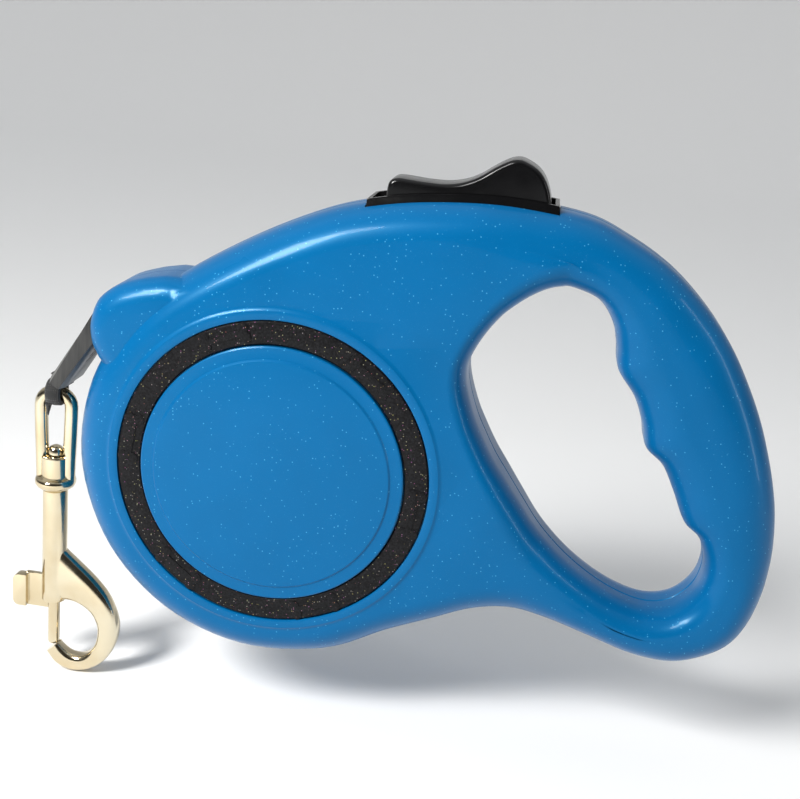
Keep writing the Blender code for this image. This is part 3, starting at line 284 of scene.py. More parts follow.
def sparkle_black():
    """Black ring with a fine coloured sparkle in it."""
    shader = Shader("sparkle_black_ring")
    base = tuple(colours().ring)
    spots, cell_colour = shader.specks(1.0 / SPARKLE, (0.12, 0.34), (0.80, 0.86), 0.42)
    tint = shader.blend(0.45, cell_colour, (0.55, 0.50, 0.45))
    grain = shader.ramp(shader.noise(2200.0, 2.0), 0.35, 0.75)
    body = shader.blend(grain, base, shaded(base, 3.2))
    shader.base_colour(spots, body, tint)
    shader.roughness(shader.noise(500.0), 0.3, 0.7, 0.30, 0.42)
    shader.bump(shader.noise(1500.0, 2.0), 0.12)
    shader.set(Specular_IOR_Level=0.12)
    return shader.material


def nickel():
    """Bright nickel plate over a casting, warm in tone, with a soft waviness."""
    shader = Shader("nickel_plate")
    base = tuple(colours().metal)
    duller = (base[0] * 0.86, base[1] * 0.80, base[2] * 0.70)
    shader.mottled(90.0, base, duller, 4.0, 0.35)
    shader.roughness(shader.noise(160.0, 5.0), 0.3, 0.75, 0.10, 0.21)
    shader.bump(shader.noise(240.0, 3.0), 0.10, 0.0002)
    shader.set(Metallic=1.0)
    return shader.material


def ribbed_rubber():
    """Painted sheen on the sheath's wide faces: a grey that stands in for the light they catch at a grazing
    angle, with a mottle and a fine grain.
    """
    shader = Shader("grey_sheath_face")
    base = tuple(colours().sheath)
    shader.mottled(150.0, shaded(base, 0.72), base, 4.0)
    shader.bump(shader.noise(1600.0, 3.0), 0.25)
    shader.set(Roughness=0.42)
    return shader.material


def dark_sheath():
    """Black moulding of the sheath's narrow edges, faintly streaked along its length."""
    shader = Shader("dark_sheath_edge")
    turn = shader.node("ShaderNodeMapping")
    turn.inputs["Rotation"].default_value = (0.0, math.atan2(SHEATH_LINE.x, SHEATH_LINE.z), 0.0)
    turn.inputs["Scale"].default_value = (1.0, 1.0, 0.08)
    shader.link(shader.place, turn.inputs["Vector"])
    streak = shader.node("ShaderNodeTexNoise")
    streak.inputs["Scale"].default_value = 1400.0
    shader.link(turn.outputs["Vector"], streak.inputs["Vector"])
    tone = shader.ramp(streak.outputs["Fac"], 0.3, 0.7)
    shader.base_colour(tone, (0.012, 0.012, 0.012), (0.035, 0.035, 0.034))
    shader.bump(streak.outputs["Fac"], 0.2)
    shader.set(Roughness=0.38)
    return shader.material


def webbing():
    """Black woven tape: three crossed waves make its yarns."""
    shader = Shader("black_woven_tape")
    waves = []
    for direction in ("X", "Y", "Z"):
        wave = shader.node("ShaderNodeTexWave", bands_direction=direction)
        wave.inputs["Scale"].default_value = 1.0 / (sizes().weave * 3.2)
        wave.inputs["Distortion"].default_value = 1.5
        shader.link(shader.place, wave.inputs["Vector"])
        waves.append(wave.outputs["Fac"])
    weave = shader.multiply(shader.multiply(waves[0], waves[1]), waves[2])
    shader.base_colour(shader.ramp(weave, 0.0, 0.6), (0.006, 0.006, 0.006), (0.028, 0.028, 0.028))
    shader.bump(weave, 0.7, 0.0002)
    shader.set(Roughness=0.78, Sheen_Weight=0.25)
    return shader.material


def nylon():
    """Natural white nylon of the moulded pieces inside."""
    shader = Shader("natural_nylon")
    shader.mottled(120.0, (0.66, 0.66, 0.62), (0.78, 0.78, 0.75))
    shader.bump(shader.noise(800.0, 2.0), 0.08)
    shader.set(Roughness=0.45)
    return shader.material


def steel():
    """Bright drawn steel of the springs, pins and screws."""
    shader = Shader("spring_steel")
    shader.roughness(shader.noise(400.0, 4.0), 0.3, 0.7, 0.24, 0.38)
    shader.mottled(70.0, (0.30, 0.31, 0.33), (0.42, 0.43, 0.45))
    shader.set(Metallic=1.0)
    return shader.material


FINISHES = {
    "blue_casing": pearl_blue,
    "black_trim": gloss_black,
    "sparkle_ring": sparkle_black,
    "nickel_plate": nickel,
    "sheath_painted_sheen": ribbed_rubber,
    "dark_sheathing": dark_sheath,
    "black_webbing": webbing,
    "white_nylon": nylon,
    "spring_steel": steel,
}
MADE = {}


def finish(name):
    """The material of that finish, made once."""
    if name not in MADE:
        MADE[name] = FINISHES[name]()
    return MADE[name]


# ------------------------------------------------------------ modelling helpers


def from_reel(x, z):
    """A point in the middle plane, in millimetres from the reel's axis."""
    return Vector((REEL.x + x * MM, 0.0, REEL.z + z * MM))


def outline_at(place, points):
    """An outline in metres from one in millimetres from a place."""
    return [(place.x + x * MM, place.z + z * MM) for x, z in points]


def mix(first, second, share):
    return first + (second - first) * share


def smooth_step(value, low, high):
    """0 up to low, 1 from high, with a smooth rise between."""
    share = min(max((value - low) / (high - low), 0.0), 1.0)
    return share * share * (3 - 2 * share)


def spline(points, steps, closed=True):
    """Points on a smooth curve through the given ones."""
    count = len(points)
    made = []
    for index in range(count if closed else count - 1):
        near = [index + shift for shift in (-1, 0, 1, 2)]
        near = [place % count if closed else min(max(place, 0), count - 1) for place in near]
        p0, p1, p2, p3 = (Vector(points[place]) for place in near)
        for step in range(steps):
            t = step / steps
            bend = 2 * p0 - 5 * p1 + 4 * p2 - p3
            twist = 3 * p1 - p0 - 3 * p2 + p3
            made.append(0.5 * (2 * p1 + (p2 - p0) * t + bend * t * t + twist * t * t * t))
    if not closed:
        made.append(Vector(points[-1]))
    return made


def arc_points(middle, radius, start, end, steps):
    """Points on an arc, from one angle to another in degrees."""
    made = []
    for step in range(steps + 1):
        angle = math.radians(mix(start, end, step / steps))
        made.append(Vector(middle) + Vector((math.cos(angle), math.sin(angle))) * radius)
    return made


def new_mesh(name, bm):
    """A mesh with the bmesh's faces; the bmesh is freed."""
    mesh = bpy.data.meshes.new(name)
    bm.to_mesh(mesh)
    bm.free()
    return mesh


def linked(name, data):
    """A new object in the scene."""
    item = bpy.data.objects.new(name, data)
    bpy.context.scene.collection.objects.link(item)
    return item


def temporary(bm):
    return linked("working", new_mesh("working", bm))


def shaped(bm, *steps):
    """The bmesh after a run of Booleans; each step is an operation and another bmesh."""
    body = temporary(bm)
    others = []
    for operation, other in steps:
        modifier = body.modifiers.new(operation, "BOOLEAN")
        modifier.operation = operation
        modifier.solver = "EXACT"
        modifier.object = temporary(other)
        others.append(modifier.object)
    made = evaluated(body)
    for item in others:
        bpy.data.objects.remove(item, do_unlink=True)
    return made


def evaluated(item):
    """A bmesh of the object with its modifiers applied; the object is removed."""
    graph = bpy.context.evaluated_depsgraph_get()
    graph.update()
    mesh = bpy.data.meshes.new_from_object(item.evaluated_get(graph))
    bpy.data.objects.remove(item, do_unlink=True)
    made = bmesh.new()
    made.from_mesh(mesh)
    bpy.data.meshes.remove(mesh)
    return made


def softened_edges(bm, width, segments=3, angle=30):
    """Rounds every edge sharper than the angle."""
    item = temporary(bm)
    modifier = item.modifiers.new("edges", "BEVEL")
    modifier.width = width
    modifier.segments = segments
    modifier.limit_method = "ANGLE"
    modifier.angle_limit = math.radians(angle)
    return evaluated(item)


def piece(name, bm, finishes, body, nodes, slot=None, angle=32):
    """Makes the bmesh a finished piece that rides on a body and stands for the CAD nodes."""
    bmesh.ops.remove_doubles(bm, verts=bm.verts, dist=WELD)
    bmesh.ops.recalc_face_normals(bm, faces=bm.faces)
    mesh = new_mesh(name, bm)
    names = [finishes] if isinstance(finishes, str) else finishes
    for each in names:
        mesh.materials.append(finish(each))
    mesh.shade_smooth()
    mesh.set_sharp_from_angle(angle=math.radians(angle))
    item = linked(name, mesh)
    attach(item, body)
    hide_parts(*nodes)
    slot or names[0]
    return item


def turn_to(direction):
    """Turns +Z to a direction."""
    return Vector(direction).to_track_quat("Z", "Y").to_matrix().to_4x4()


def add_rod(bm, start, end, radius, sides=32, end_radius=None):
    start, end = Vector(start), Vector(end)
    span = end - start
    bmesh.ops.create_cone(
        bm,
        cap_ends=True,
        segments=sides,
        radius1=radius,
        radius2=radius if end_radius is None else end_radius,
        depth=span.length,
        matrix=Matrix.Translation((start + end) / 2) @ turn_to(span),
    )


def rod(start, end, radius, sides=32, end_radius=None):
    bm = bmesh.new()
    add_rod(bm, start, end, radius, sides, end_radius)
    return bm


def block(matrix):
    """A unit cube put in place and sized by a matrix."""
    bm = bmesh.new()
    bmesh.ops.create_cube(bm, size=1.0, matrix=matrix)
    return bm


def box(low, high):
    low, high = Vector(low), Vector(high)
    return block(Matrix.Translation((low + high) / 2) @ Matrix.Diagonal((*(high - low), 1.0)))


def slab(outline, y_low, y_high):
    """A flat outline in X and Z drawn out along Y."""
    bm = bmesh.new()
    face = bm.faces.new([bm.verts.new((x, y_low, z)) for x, z in outline])
    made = bmesh.ops.extrude_face_region(bm, geom=[face])
    moved = [found for found in made["geom"] if isinstance(found, bmesh.types.BMVert)]
    bmesh.ops.translate(bm, verts=moved, vec=(0.0, y_high - y_low, 0.0))
    bmesh.ops.recalc_face_normals(bm, faces=bm.faces)
    return bm


def is_level(edge):
    return abs(edge.verts[0].co.y - edge.verts[1].co.y) < LEVEL


def bevelled(bm, edges, offset, segments):
    bmesh.ops.bevel(
        bm, geom=edges, offset=offset, segments=segments, profile=0.5, affect="EDGES", material=-1
    )
    return bm


def rounded_slab(outline, half, rounding, segments):
    """A slab about the middle plane with its long edges rounded."""
    bm = slab(outline, -half, half)
    return bevelled(bm, [edge for edge in bm.edges if is_level(edge)], rounding, segments)


def turned(profile, place, direction, steps=96):
    """A closed profile of (radius, height) spun about a line; height grows along the direction."""
    bm = bmesh.new()
    points = [bm.verts.new((radius, 0.0, height)) for radius, height in profile]
    pairs = [pair for pair in zip(points, points[1:] + points[:1]) if pair[0].co.x or pair[1].co.x]
    edges = [bm.edges.new(pair) for pair in pairs]
    bmesh.ops.spin(
        bm,
        geom=points + edges,
        cent=(0.0, 0.0, 0.0),
        axis=(0.0, 0.0, 1.0),
        angle=2 * math.pi,
        steps=steps,
        use_merge=True,
    )
    bmesh.ops.remove_doubles(bm, verts=bm.verts, dist=WELD)
    bmesh.ops.recalc_face_normals(bm, faces=bm.faces)
    bmesh.ops.transform(bm, matrix=Matrix.Translation(place) @ turn_to(direction), verts=bm.verts)
    return bm


def lofted(columns, rows, place, closed_rows=True):
    """A tube of points that go where place(column, row) says, capped or joined up into a ring."""
    bm = bmesh.new()
    down = rows if closed_rows else rows - 1
    bmesh.ops.create_grid(bm, x_segments=columns, y_segments=down, size=1.0)
    for vert in bm.verts:
        column = round((vert.co.x + 1) / 2 * columns)
        row = round((vert.co.y + 1) / 2 * down)
        vert.co = place(column % columns, row % rows)
    bmesh.ops.remove_doubles(bm, verts=bm.verts, dist=WELD)
    if not closed_rows:
        bmesh.ops.holes_fill(bm, edges=[edge for edge in bm.edges if edge.is_boundary])
    bmesh.ops.recalc_face_normals(bm, faces=bm.faces)
    return bm


def node_copy(node):
    """A bmesh of a CAD node's own mesh with its loose triangles merged and its flat faces whole."""
    bm = bmesh.new()
    bm.from_mesh(frame["nodes"][node].data)
    bmesh.ops.remove_doubles(bm, verts=bm.verts, dist=WELD)
    bmesh.ops.dissolve_limit(bm, angle_limit=math.radians(1.0), verts=bm.verts, edges=bm.edges)
    return bm


# ------------------------------------------------------------ casing

DRUM_RADIUS = 50.5 * MM
RIM_SIDE = 3.0 * MM
RIM_ROUND = 8.5 * MM
GRIP_ROUND = 11.0 * MM
HOLE_ROUND = 4.5 * MM
FACE_STEP = 0.5 * MM
RING_DEPTH = 1.5 * MM
SEAM = 0.22 * MM  # chamfer along the joint between the shells
DISC = 29.0 * MM  # radius of the raised disc inside the ring
PLATEAU = 40.6 * MM  # radius of the raised face round the ring
FACE_SIDES = 160
INSET_SHARE = 0.6  # how much of the wall comes off the hollow's rounds
ROOM_SHARE = 0.86  # how much of the width from the hole to the outside the two rounds may take
NOSE_HALF = 12.0 * MM
NOSE_ROUND = 5.4 * MM
FRAME_HALF = 6.8 * MM  # half the width of the button's frame
FRAME_GAP = 0.3 * MM

# A point on the hand hole and the one across from it outside, in millimetres from the frame's origin.
GRIP_PAIRS = (
    ((-40.9, 42.6), (-40.0, 58.6)), ((-34.7, 40.4), (-29.6, 54.8)), ((-30.8, 35.4), (-19.2, 49.0)),
    ((-29.0, 29.9), (-10.2, 41.2)), ((-27.8, 24.2), (-3.4, 33.2)), ((-23.2, 18.3), (1.8, 25.0)),
    ((-20.4, 12.0), (6.2, 16.6)), ((-18.7, 6.4), (9.4, 8.8)), ((-14.2, 2.6), (11.8, 1.8)),
    ((-10.6, -3.6), (13.6, -5.2)), ((-6.9, -10.9), (14.7, -13.0)), ((-2.8, -14.4), (14.9, -19.4)),
    ((-0.4, -20.4), (14.3, -26.6)), ((-1.0, -26.4), (12.4, -34.4)), ((-3.8, -31.0), (9.0, -40.6)),
    ((-7.6, -33.8), (3.4, -44.8)), ((-13.0, -34.6), (-4.5, -47.6)), ((-19.6, -33.0), (-14.5, -47.0)),
    ((-26.4, -29.8), (-25.5, -43.8)), ((-33.6, -24.9), (-36.0, -40.8)), ((-40.4, -18.6), (-45.5, -39.4)),
    ((-45.6, -12.0), (-54.5, -41.0)), ((-50.0, -6.1), (-63.5, -45.0)),
)
# The same with degrees round the drum and millimetres beyond its rim for the outside.
DRUM_PAIRS = (
    ((-53.6, -1.2), -52.0, 0.4), ((-56.5, 3.6), -72.0, 0.0), ((-58.8, 7.8), -97.0, 0.0),
    ((-60.4, 11.6), -122.0, 0.0), ((-61.6, 15.0), -147.0, 0.0), ((-62.4, 18.4), -172.0, 0.0),
    ((-62.4, 22.0), -195.0, 0.0), ((-61.1, 26.0), -216.0, 0.0), ((-58.8, 30.4), -234.0, 0.9),
)
TOP_PAIRS = (
    ((-55.8, 34.6), (-118.0, 43.8)), ((-52.2, 38.0), (-100.5, 52.7)), ((-49.2, 40.2), (-87.0, 56.9)),
    ((-46.4, 41.7), (-73.0, 59.2)), ((-43.6, 42.5), (-57.0, 60.1)),
)
# The nose, in millimetres from the mouth's pivot.
NOSE_OUTLINE = (
    (25.0, 9.5), (17.4, 11.5), (12.2, 10.8), (8.8, 9.9), (4.1, 8.1), (0.7, 5.7), (-1.2, 3.5), (-2.4, 0.3),
    (-2.9, -3.0), (-2.3, -6.9), (-1.2, -9.1), (0.1, -11.2), (4.0, -14.5), (14.0, -13.5), (24.0, -6.0),
)
BOSS_RADIUS = 3.6 * MM
NEAR_BOSS = 7.2 * MM  # how far the posts reach from the middle plane
FAR_BOSS = 5.4 * MM
WELL_RADIUS = 2.6 * MM
WELL_FLOOR = 8.4 * MM
# From the reel's axis, in millimetres.
SCREW_SPOTS = ((-8.0, 50.6), (74.5, 57.2), (92.0, 42.0), (110.0, -25.5), (46.0, -22.5))


def casing_outlines(steps):
    """The hand hole and the outside, point for point, in X and Z."""
    pairs = [(inner, Vector(outer) * MM) for inner, outer in GRIP_PAIRS]
    for inner, degrees, beyond in DRUM_PAIRS:
        angle = math.radians(degrees)
        radius = DRUM_RADIUS + beyond * MM
        rim = Vector((REEL.x + radius * math.cos(angle), REEL.z + radius * math.sin(angle)))
        pairs.append((inner, rim))
    pairs += [(inner, Vector(outer) * MM) for inner, outer in TOP_PAIRS]
    hole = [Vector(inner) * MM for inner, _ in pairs]
    return spline(hole, steps), spline([outer for _, outer in pairs], steps)


def inward_normals(outline, side):
    """A unit vector square to the outline at each point; side turns them all round."""
    count = len(outline)
    made = []
    for index in range(count):
        along = outline[(index + 1) % count] - outline[index - 1]
        made.append(Vector((along.y, -along.x)).normalized() * side)
    return made


def eased(outline, rounds):
    """The outline with its ridges smoothed away."""
    points = [point.copy() for point in outline]
    for _ in range(rounds):
        points = [
            (points[index - 1] + points[index] * 2 + points[(index + 1) % len(points)]) / 4
            for index in range(len(points))
        ]
    return points


def grip_share(x):
    """0 over the drum, 1 over the hand grip."""
    start = DRUM_RADIUS - 4 * MM
    return smooth_step(x - REEL.x, start, start + 36 * MM)


def casing_half(inset, steps, rounding, reach, seam=0.0):
    """The near half of the casing as a solid, or with an inset the hollow in it."""
    hole, outside = casing_outlines(steps)
    smooth_hole = eased(hole, steps * steps)
    into_outside = inward_normals(outside, 1)
    into_hole = inward_normals(smooth_hole, -1)
    count = len(outside)
    drum_half, grip_half = sizes().drum_half, sizes().grip_half
    sections = []
    for index in range(count):
        from_outside = mix(RIM_ROUND, GRIP_ROUND, grip_share(outside[index].x)) - inset * INSET_SHARE
        from_hole = mix(HOLE_ROUND, GRIP_ROUND - 1.5 * MM, grip_share(hole[index].x)) - inset * INSET_SHARE
        room = (outside[index] - hole[index]).length - 2 * inset
        scale = min(1.0, ROOM_SHARE * room / (from_outside + from_hole))
        middle = (outside[index].x + hole[index].x) / 2
        high = mix(drum_half, grip_half, grip_share(middle)) - inset
        low = mix(drum_half - HOLE_ROUND - 3 * MM, RIM_SIDE, grip_share(hole[index].x))
        sections.append((from_outside * scale, from_hole * scale, high, low))

    def outer_point(index, angle, extra=0.0):
        width, _, high, _ = sections[index]
        into = into_outside[index]
        flat = outside[index] + into * (inset + extra + width * (1 - math.cos(angle)))
        return flat, mix(RIM_SIDE, high, math.sin(angle))

    def hole_point(index, angle, extra=0.0):
        _, width, high, low = sections[index]
        fade = 1 - math.cos(angle)
        start = hole[index].lerp(smooth_hole[index], fade)
        flat = start + into_hole[index] * (inset + extra + width * fade)
        return flat, mix(low, high, math.sin(angle))

    turns = [math.radians(90 * step / rounding) for step in range(rounding + 1)]
    last = turns[-1]

    def edge_row(point, extra, height):
        return lambda index: (point(index, 0.0, extra)[0], height)

    def face_row(share):
        """Across the flat between the two rounds."""
        return lambda index: (
            outer_point(index, last)[0].lerp(hole_point(index, last)[0], share),
            sections[index][2],
        )

    rows = [edge_row(outer_point, seam, reach)] if seam else []
    rows.append(edge_row(outer_point, 0.0, reach + seam))
    rows += [lambda index, turn=turn: outer_point(index, turn) for turn in turns]
    rows += [face_row(share) for share in (0.25, 0.5, 0.75)]
    rows += [lambda index, turn=turn: hole_point(index, turn) for turn in reversed(turns)]
    rows.append(edge_row(hole_point, 0.0, reach + seam))
    if seam:
        rows.append(edge_row(hole_point, seam, reach))

    def place(column, row):
        flat, height = rows[row](column)
        return (flat.x, -height, flat.y)

    return lofted(count, len(rows), place)


def flipped(bm):
    """Moves a bmesh to the other side of the middle plane."""
    bmesh.ops.scale(bm, vec=(1.0, -1.0, 1.0), verts=bm.verts)
    bmesh.ops.reverse_faces(bm, faces=bm.faces)
    return bm


def nose():
    points = outline_at(MOUTH, NOSE_OUTLINE)
    return rounded_slab(spline(points, 3), NOSE_HALF, NOSE_ROUND, 7)


def turned_on_face(profile):
    """A profile spun about the reel's axis on the near side; heights count from the middle plane."""
    return turned(profile, (REEL.x, 0.0, REEL.z), -Y_AXIS, FACE_SIDES)


def face_steps():
    """The proud steps on the drum's face, with small rounds on their edges."""
    face = sizes().drum_half
    inner, outer = sizes().ring_inner, sizes().ring_outer
    below = 2.4 * MM
    rows = (
        (DISC, -0.9, 3), (DISC, -0.45, 2.9), (DISC, -0.2, 2.5), (DISC, 0.0, 2.1), (DISC, 0.3, 2.0),
        (inner, -0.3, 2.0), (inner, 0.0, 1.6), (outer, 0.0, 0.7), (outer, 0.3, 1.0), (PLATEAU, -0.7, 1.0),
        (PLATEAU, -0.3, 0.9), (PLATEAU, 0.0, 0.45), (PLATEAU, 0.4, 0.1), (PLATEAU, 1.0, -0.2),
    )
    profile = [(0.0, face + 3 * FACE_STEP)]
    profile += [(radius + beyond * MM, face + share * FACE_STEP) for radius, beyond, share in rows]
    profile += [(PLATEAU + 1.0 * MM, face - below), (0.0, face - below)]
    return turned_on_face(profile)


def ring_groove():
    bottom = sizes().drum_half + FACE_STEP - RING_DEPTH
    top = sizes().drum_half + 4 * MM
    inner, outer = sizes().ring_inner, sizes().ring_outer
    return turned_on_face(((outer, top), (outer, bottom), (inner, bottom), (inner, top)))


def mouth_room():
    """The opening in the nose, from straight ahead round to where the sheath hangs."""
    pivot = Vector((MOUTH.x, MOUTH.z))
    ahead = Vector((PULL.x, PULL.z))
    drop = Vector((SHEATH_LINE.x, SHEATH_LINE.z))
    over = Vector((-ahead.y, ahead.x)) * -3.2 * MM
    under = Vector((-drop.y, drop.x)) * 3.8 * MM
    half = 8.0 * MM
    inside = pivot - ahead * 24 * MM
    points = [
        inside + over,
        pivot + ahead * 20 * MM + over,
        pivot + drop * 40 * MM + ahead * 12 * MM,
        pivot + drop * 40 * MM + under,
        pivot - ahead * 2.9 * MM - over,
        inside - over,
    ]
    return slab([(point.x, point.y) for point in points], -half, half)


def top_edge(x):
    """Height of the casing's outside at x, along its top."""
    _, outside = casing_outlines(4)
    for start, end in zip(outside, outside[1:] + outside[:1]):
        low, high = sorted((start.x, end.x))
        if start.y > REEL.z + DRUM_RADIUS and low <= x <= high and high > low:
            return mix(start.y, end.y, (x - start.x) / (end.x - start.x))
    raise RuntimeError("the casing has no top edge at this place")


def top_band(start, end, below, above, half, steps=24):
    """A slab that follows the casing's top edge from below it to above it."""
    places = [mix(start, end, step / steps) for step in range(steps + 1)]
    under = [(x, top_edge(x) - below) for x in places]
    over = [(x, top_edge(x) + above) for x in reversed(places)]
    return slab(under + over, -half, half)


def screw_bosses(height):
    """Posts for the screws, on the near side."""
    bm = bmesh.new()
    for x, z in SCREW_SPOTS:
        spot = from_reel(x, z)
        add_rod(bm, spot - Y_AXIS * sizes().parting, spot - Y_AXIS * height, BOSS_RADIUS)
    return bm


def screw_wells():
    """Holes through the wall for the screws' heads, on the near side until the shell is turned over."""
    bm = bmesh.new()
    for x, z in SCREW_SPOTS:
        spot = from_reel(x, z)
        add_rod(bm, spot - Y_AXIS * WELL_FLOOR, spot - Y_AXIS * 20 * MM, WELL_RADIUS)
    return bm


def shell(side):
    """One half of the casing, cut as the real moulding is."""
    bosses = screw_bosses(NEAR_BOSS if side == NEAR else FAR_BOSS)
    other_side = box((-1.0, -sizes().parting, -1.0), (1.0, 1.0, 1.0))
    half_nose = shaped(nose(), (CUT, other_side))
    body = casing_half(0.0, 6, 10, sizes().parting, SEAM)
    hollow = casing_half(sizes().wall, 2, 4, -2 * MM)
    low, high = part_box("button_bezel")
    deep = 6.0 * MM
    slot = top_band(low[0] - FRAME_GAP, high[0] + FRAME_GAP, deep, deep, FRAME_HALF + FRAME_GAP)
    bm = shaped(
        body,
        (ADD, half_nose),
        (ADD, face_steps()),
        (CUT, hollow),
        (CUT, mouth_room()),
        (CUT, ring_groove()),
        (CUT, slot),
    )
    if side == NEAR:
        return shaped(bm, (ADD, bosses))
    return flipped(shaped(bm, (CUT, screw_wells()), (ADD, bosses)))


class LEASH_OT_casing(bpy.types.Operator):
    """Build both halves of the casing"""

    bl_idname = "leash.casing"
    bl_label = "Casing"

    def execute(self, context):
        for side, name, node in ((NEAR, "casing_near", "near_shell"), (FAR, "casing_far", "far_shell")):
            piece(name, shell(side), "blue_casing", "casing", [node], angle=28)
        return {"FINISHED"}


FIRST_BONE = -8  # degrees round the ring


def bone_mark(degrees, height):
    """A bone lying along the ring: a bar with two round ends at each side, a little proud of the ring."""
    radius = (sizes().ring_inner + sizes().ring_outer) / 2
    right = arc_points((5.0, 1.2), 1.25, 201, -54, 14) + arc_points((5.0, -1.2), 1.25, 54, -201, 14)
    outline = [(point.x * MM, radius + point.y * MM) for point in right + [-point for point in right]]
    bm = slab(outline, -height - 0.25 * MM, -height + 0.5 * MM)
    turn = Matrix.Rotation(math.radians(90 - degrees), 4, "Y")
    bmesh.ops.transform(bm, matrix=Matrix.Translation((REEL.x, 0.0, REEL.z)) @ turn, verts=bm.verts)
    return bm


class LEASH_OT_rings(bpy.types.Operator):
    """Build the patterned ring in each face"""

    bl_idname = "leash.rings"
    bl_label = "Face rings"

    def execute(self, context):
        low = sizes().drum_half + FACE_STEP - RING_DEPTH + 0.3 * MM
        top = sizes().drum_half + FACE_STEP - 0.1 * MM
        gap = 0.28 * MM
        round_off = 0.3 * MM
        inner, outer = sizes().ring_inner + gap, sizes().ring_outer - gap
        profile = (
            (inner, low),
            (outer, low),
            (outer, top - round_off),
            (outer - round_off, top),
            (inner + round_off, top),
            (inner, top - round_off),
        )
        for side, name, node in (
            (NEAR, "ring_near", "near_ring_insert"),
            (FAR, "ring_far", "far_ring_insert"),
        ):
            marks = [(ADD, bone_mark(FIRST_BONE + 60 * index, top)) for index in range(6)]
            bm = softened_edges(shaped(turned_on_face(profile), *marks), 0.12 * MM, 2, 40)
            if side == FAR:
                bm = flipped(bm)
            piece(name, bm, "sparkle_ring", "casing", [node], "black_trim")
        return {"FINISHED"}


class LEASH_OT_screws(bpy.types.Operator):
    """Build the cross-head case screws"""

    bl_idname = "leash.screws"
    bl_label = "Case screws"

    def execute(self, context):
        head = 5.7 * MM  # the seat under the head, from the middle plane
        dome = ((0.0, 1.8), (0.9, 1.75), (1.7, 1.5), (2.2, 1.0), (2.3, 0.5), (2.3, 0.0), (1.2, 0.0))
        shank = ((1.2, -6.1), (0.4, -7.6), (0.0, -7.6))
        profile = [(r * MM, head + rise * MM) for r, rise in dome] + [(r * MM, y * MM) for r, y in shank]
        arm, half_slot = 1.35 * MM, 0.28 * MM
        for number, (x, z) in enumerate(SCREW_SPOTS, 1):
            spot = from_reel(x, z)
            bm = turned(profile, spot, Y_AXIS, 32)
            floor = spot + Y_AXIS * (head + 0.7 * MM)
            for across, up in ((arm, half_slot), (half_slot, arm)):
                corner = Vector((across, 0.0, up))
                recess = box(floor - corner, floor + Vector((across, 2 * MM, up)))
                bm = shaped(bm, (CUT, recess))
            piece("screw_" + str(number), bm, "spring_steel", "casing", ["case_screw_" + str(number)])
        return {"FINISHED"}


# ------------------------------------------------------------ brake


class LEASH_OT_bezel(bpy.types.Operator):
    """Build the black frame round the thumb button"""

    bl_idname = "leash.bezel"
    bl_label = "Button frame"

    def execute(self, context):
        low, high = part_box("button_bezel")
        start, end = low[0], high[0]
        deep, wall, half_opening = 5.6 * MM, 1.0 * MM, 5.5 * MM
        bm = top_band(start, end, deep, 1.1 * MM, FRAME_HALF)
        opening = box((start + wall, -half_opening, 0.0), (end - wall, half_opening, 0.2))
        lip = top_band(start, end, deep, -4.5 * MM, 8.0 * MM)
        bm = shaped(bm, (ADD, lip), (CUT, opening))
        bm = softened_edges(bm, 0.2 * MM, 2, 60)
        piece("button_frame", bm, "black_trim", "casing", ["button_bezel"])
        return {"FINISHED"}


# The thumb button from its front over the hump to its back, in millimetres from the reel's axis.
BUTTON_TOP = (
    (20.3, 67.4), (20.35, 70.0), (20.8, 71.6), (22.0, 72.35), (24.0, 72.45), (29.0, 72.2), (33.7, 72.3),
    (37.4, 73.1), (40.8, 74.7), (44.4, 77.3), (47.3, 79.0), (49.2, 79.5), (51.0, 79.2), (53.8, 77.8),
    (55.6, 75.9), (56.8, 73.6), (57.6, 71.0), (57.9, 68.0),
)
BUTTON_UNDERSIDE = ((57.9, 63.2), (52.2, 63.2), (50.8, 66.2), (20.3, 66.2))
BUTTON_LEG = (
    (20.6, 69.0), (24.6, 69.0), (23.8, 60.0), (17.2, 42.4), (15.8, 39.2), (13.1, 40.1), (14.4, 43.4),
    (20.2, 62.0),
)


class LEASH_OT_button(bpy.types.Operator):
    """Build the thumb button, with its leg down to the reel"""

    bl_idname = "leash.button"
    bl_label = "Thumb button"

    def execute(self, context):
        top = spline(BUTTON_TOP, 4, closed=False)
        outline = outline_at(REEL, top) + outline_at(REEL, BUTTON_UNDERSIDE)
        bm = rounded_slab(outline, 5.2 * MM, 1.1 * MM, 5)
        room = box(
            PRESS_PIN + Vector((-4.0, -1.8, -5.0)) * MM,
            PRESS_PIN + Vector((6.0, 1.8, 2.9)) * MM,
        )
        pin = Y_AXIS * 9 * MM
        leg_half = 4.8 * MM
        bm = shaped(
            bm,
            (ADD, slab(outline_at(REEL, BUTTON_LEG), -leg_half, leg_half)),
            (CUT, room),
            (CUT, rod(PRESS_PIN - pin, PRESS_PIN + pin, 1.3 * MM)),
        )
        piece("thumb_button", bm, "black_trim", "button", ["brake_button"], angle=35)
        return {"FINISHED"}


# ------------------------------------------------------------ tape, sheath and webbing


def sheath_matrix():
    """From the sheath's own axes to the frame's: X along it, Y across it, Z out of its upper face."""
    along = SHEATH_LINE
    out = along.cross(Y_AXIS).normalized()
    return Matrix.Translation(MOUTH) @ Matrix((along, Y_AXIS, out)).transposed().to_4x4()


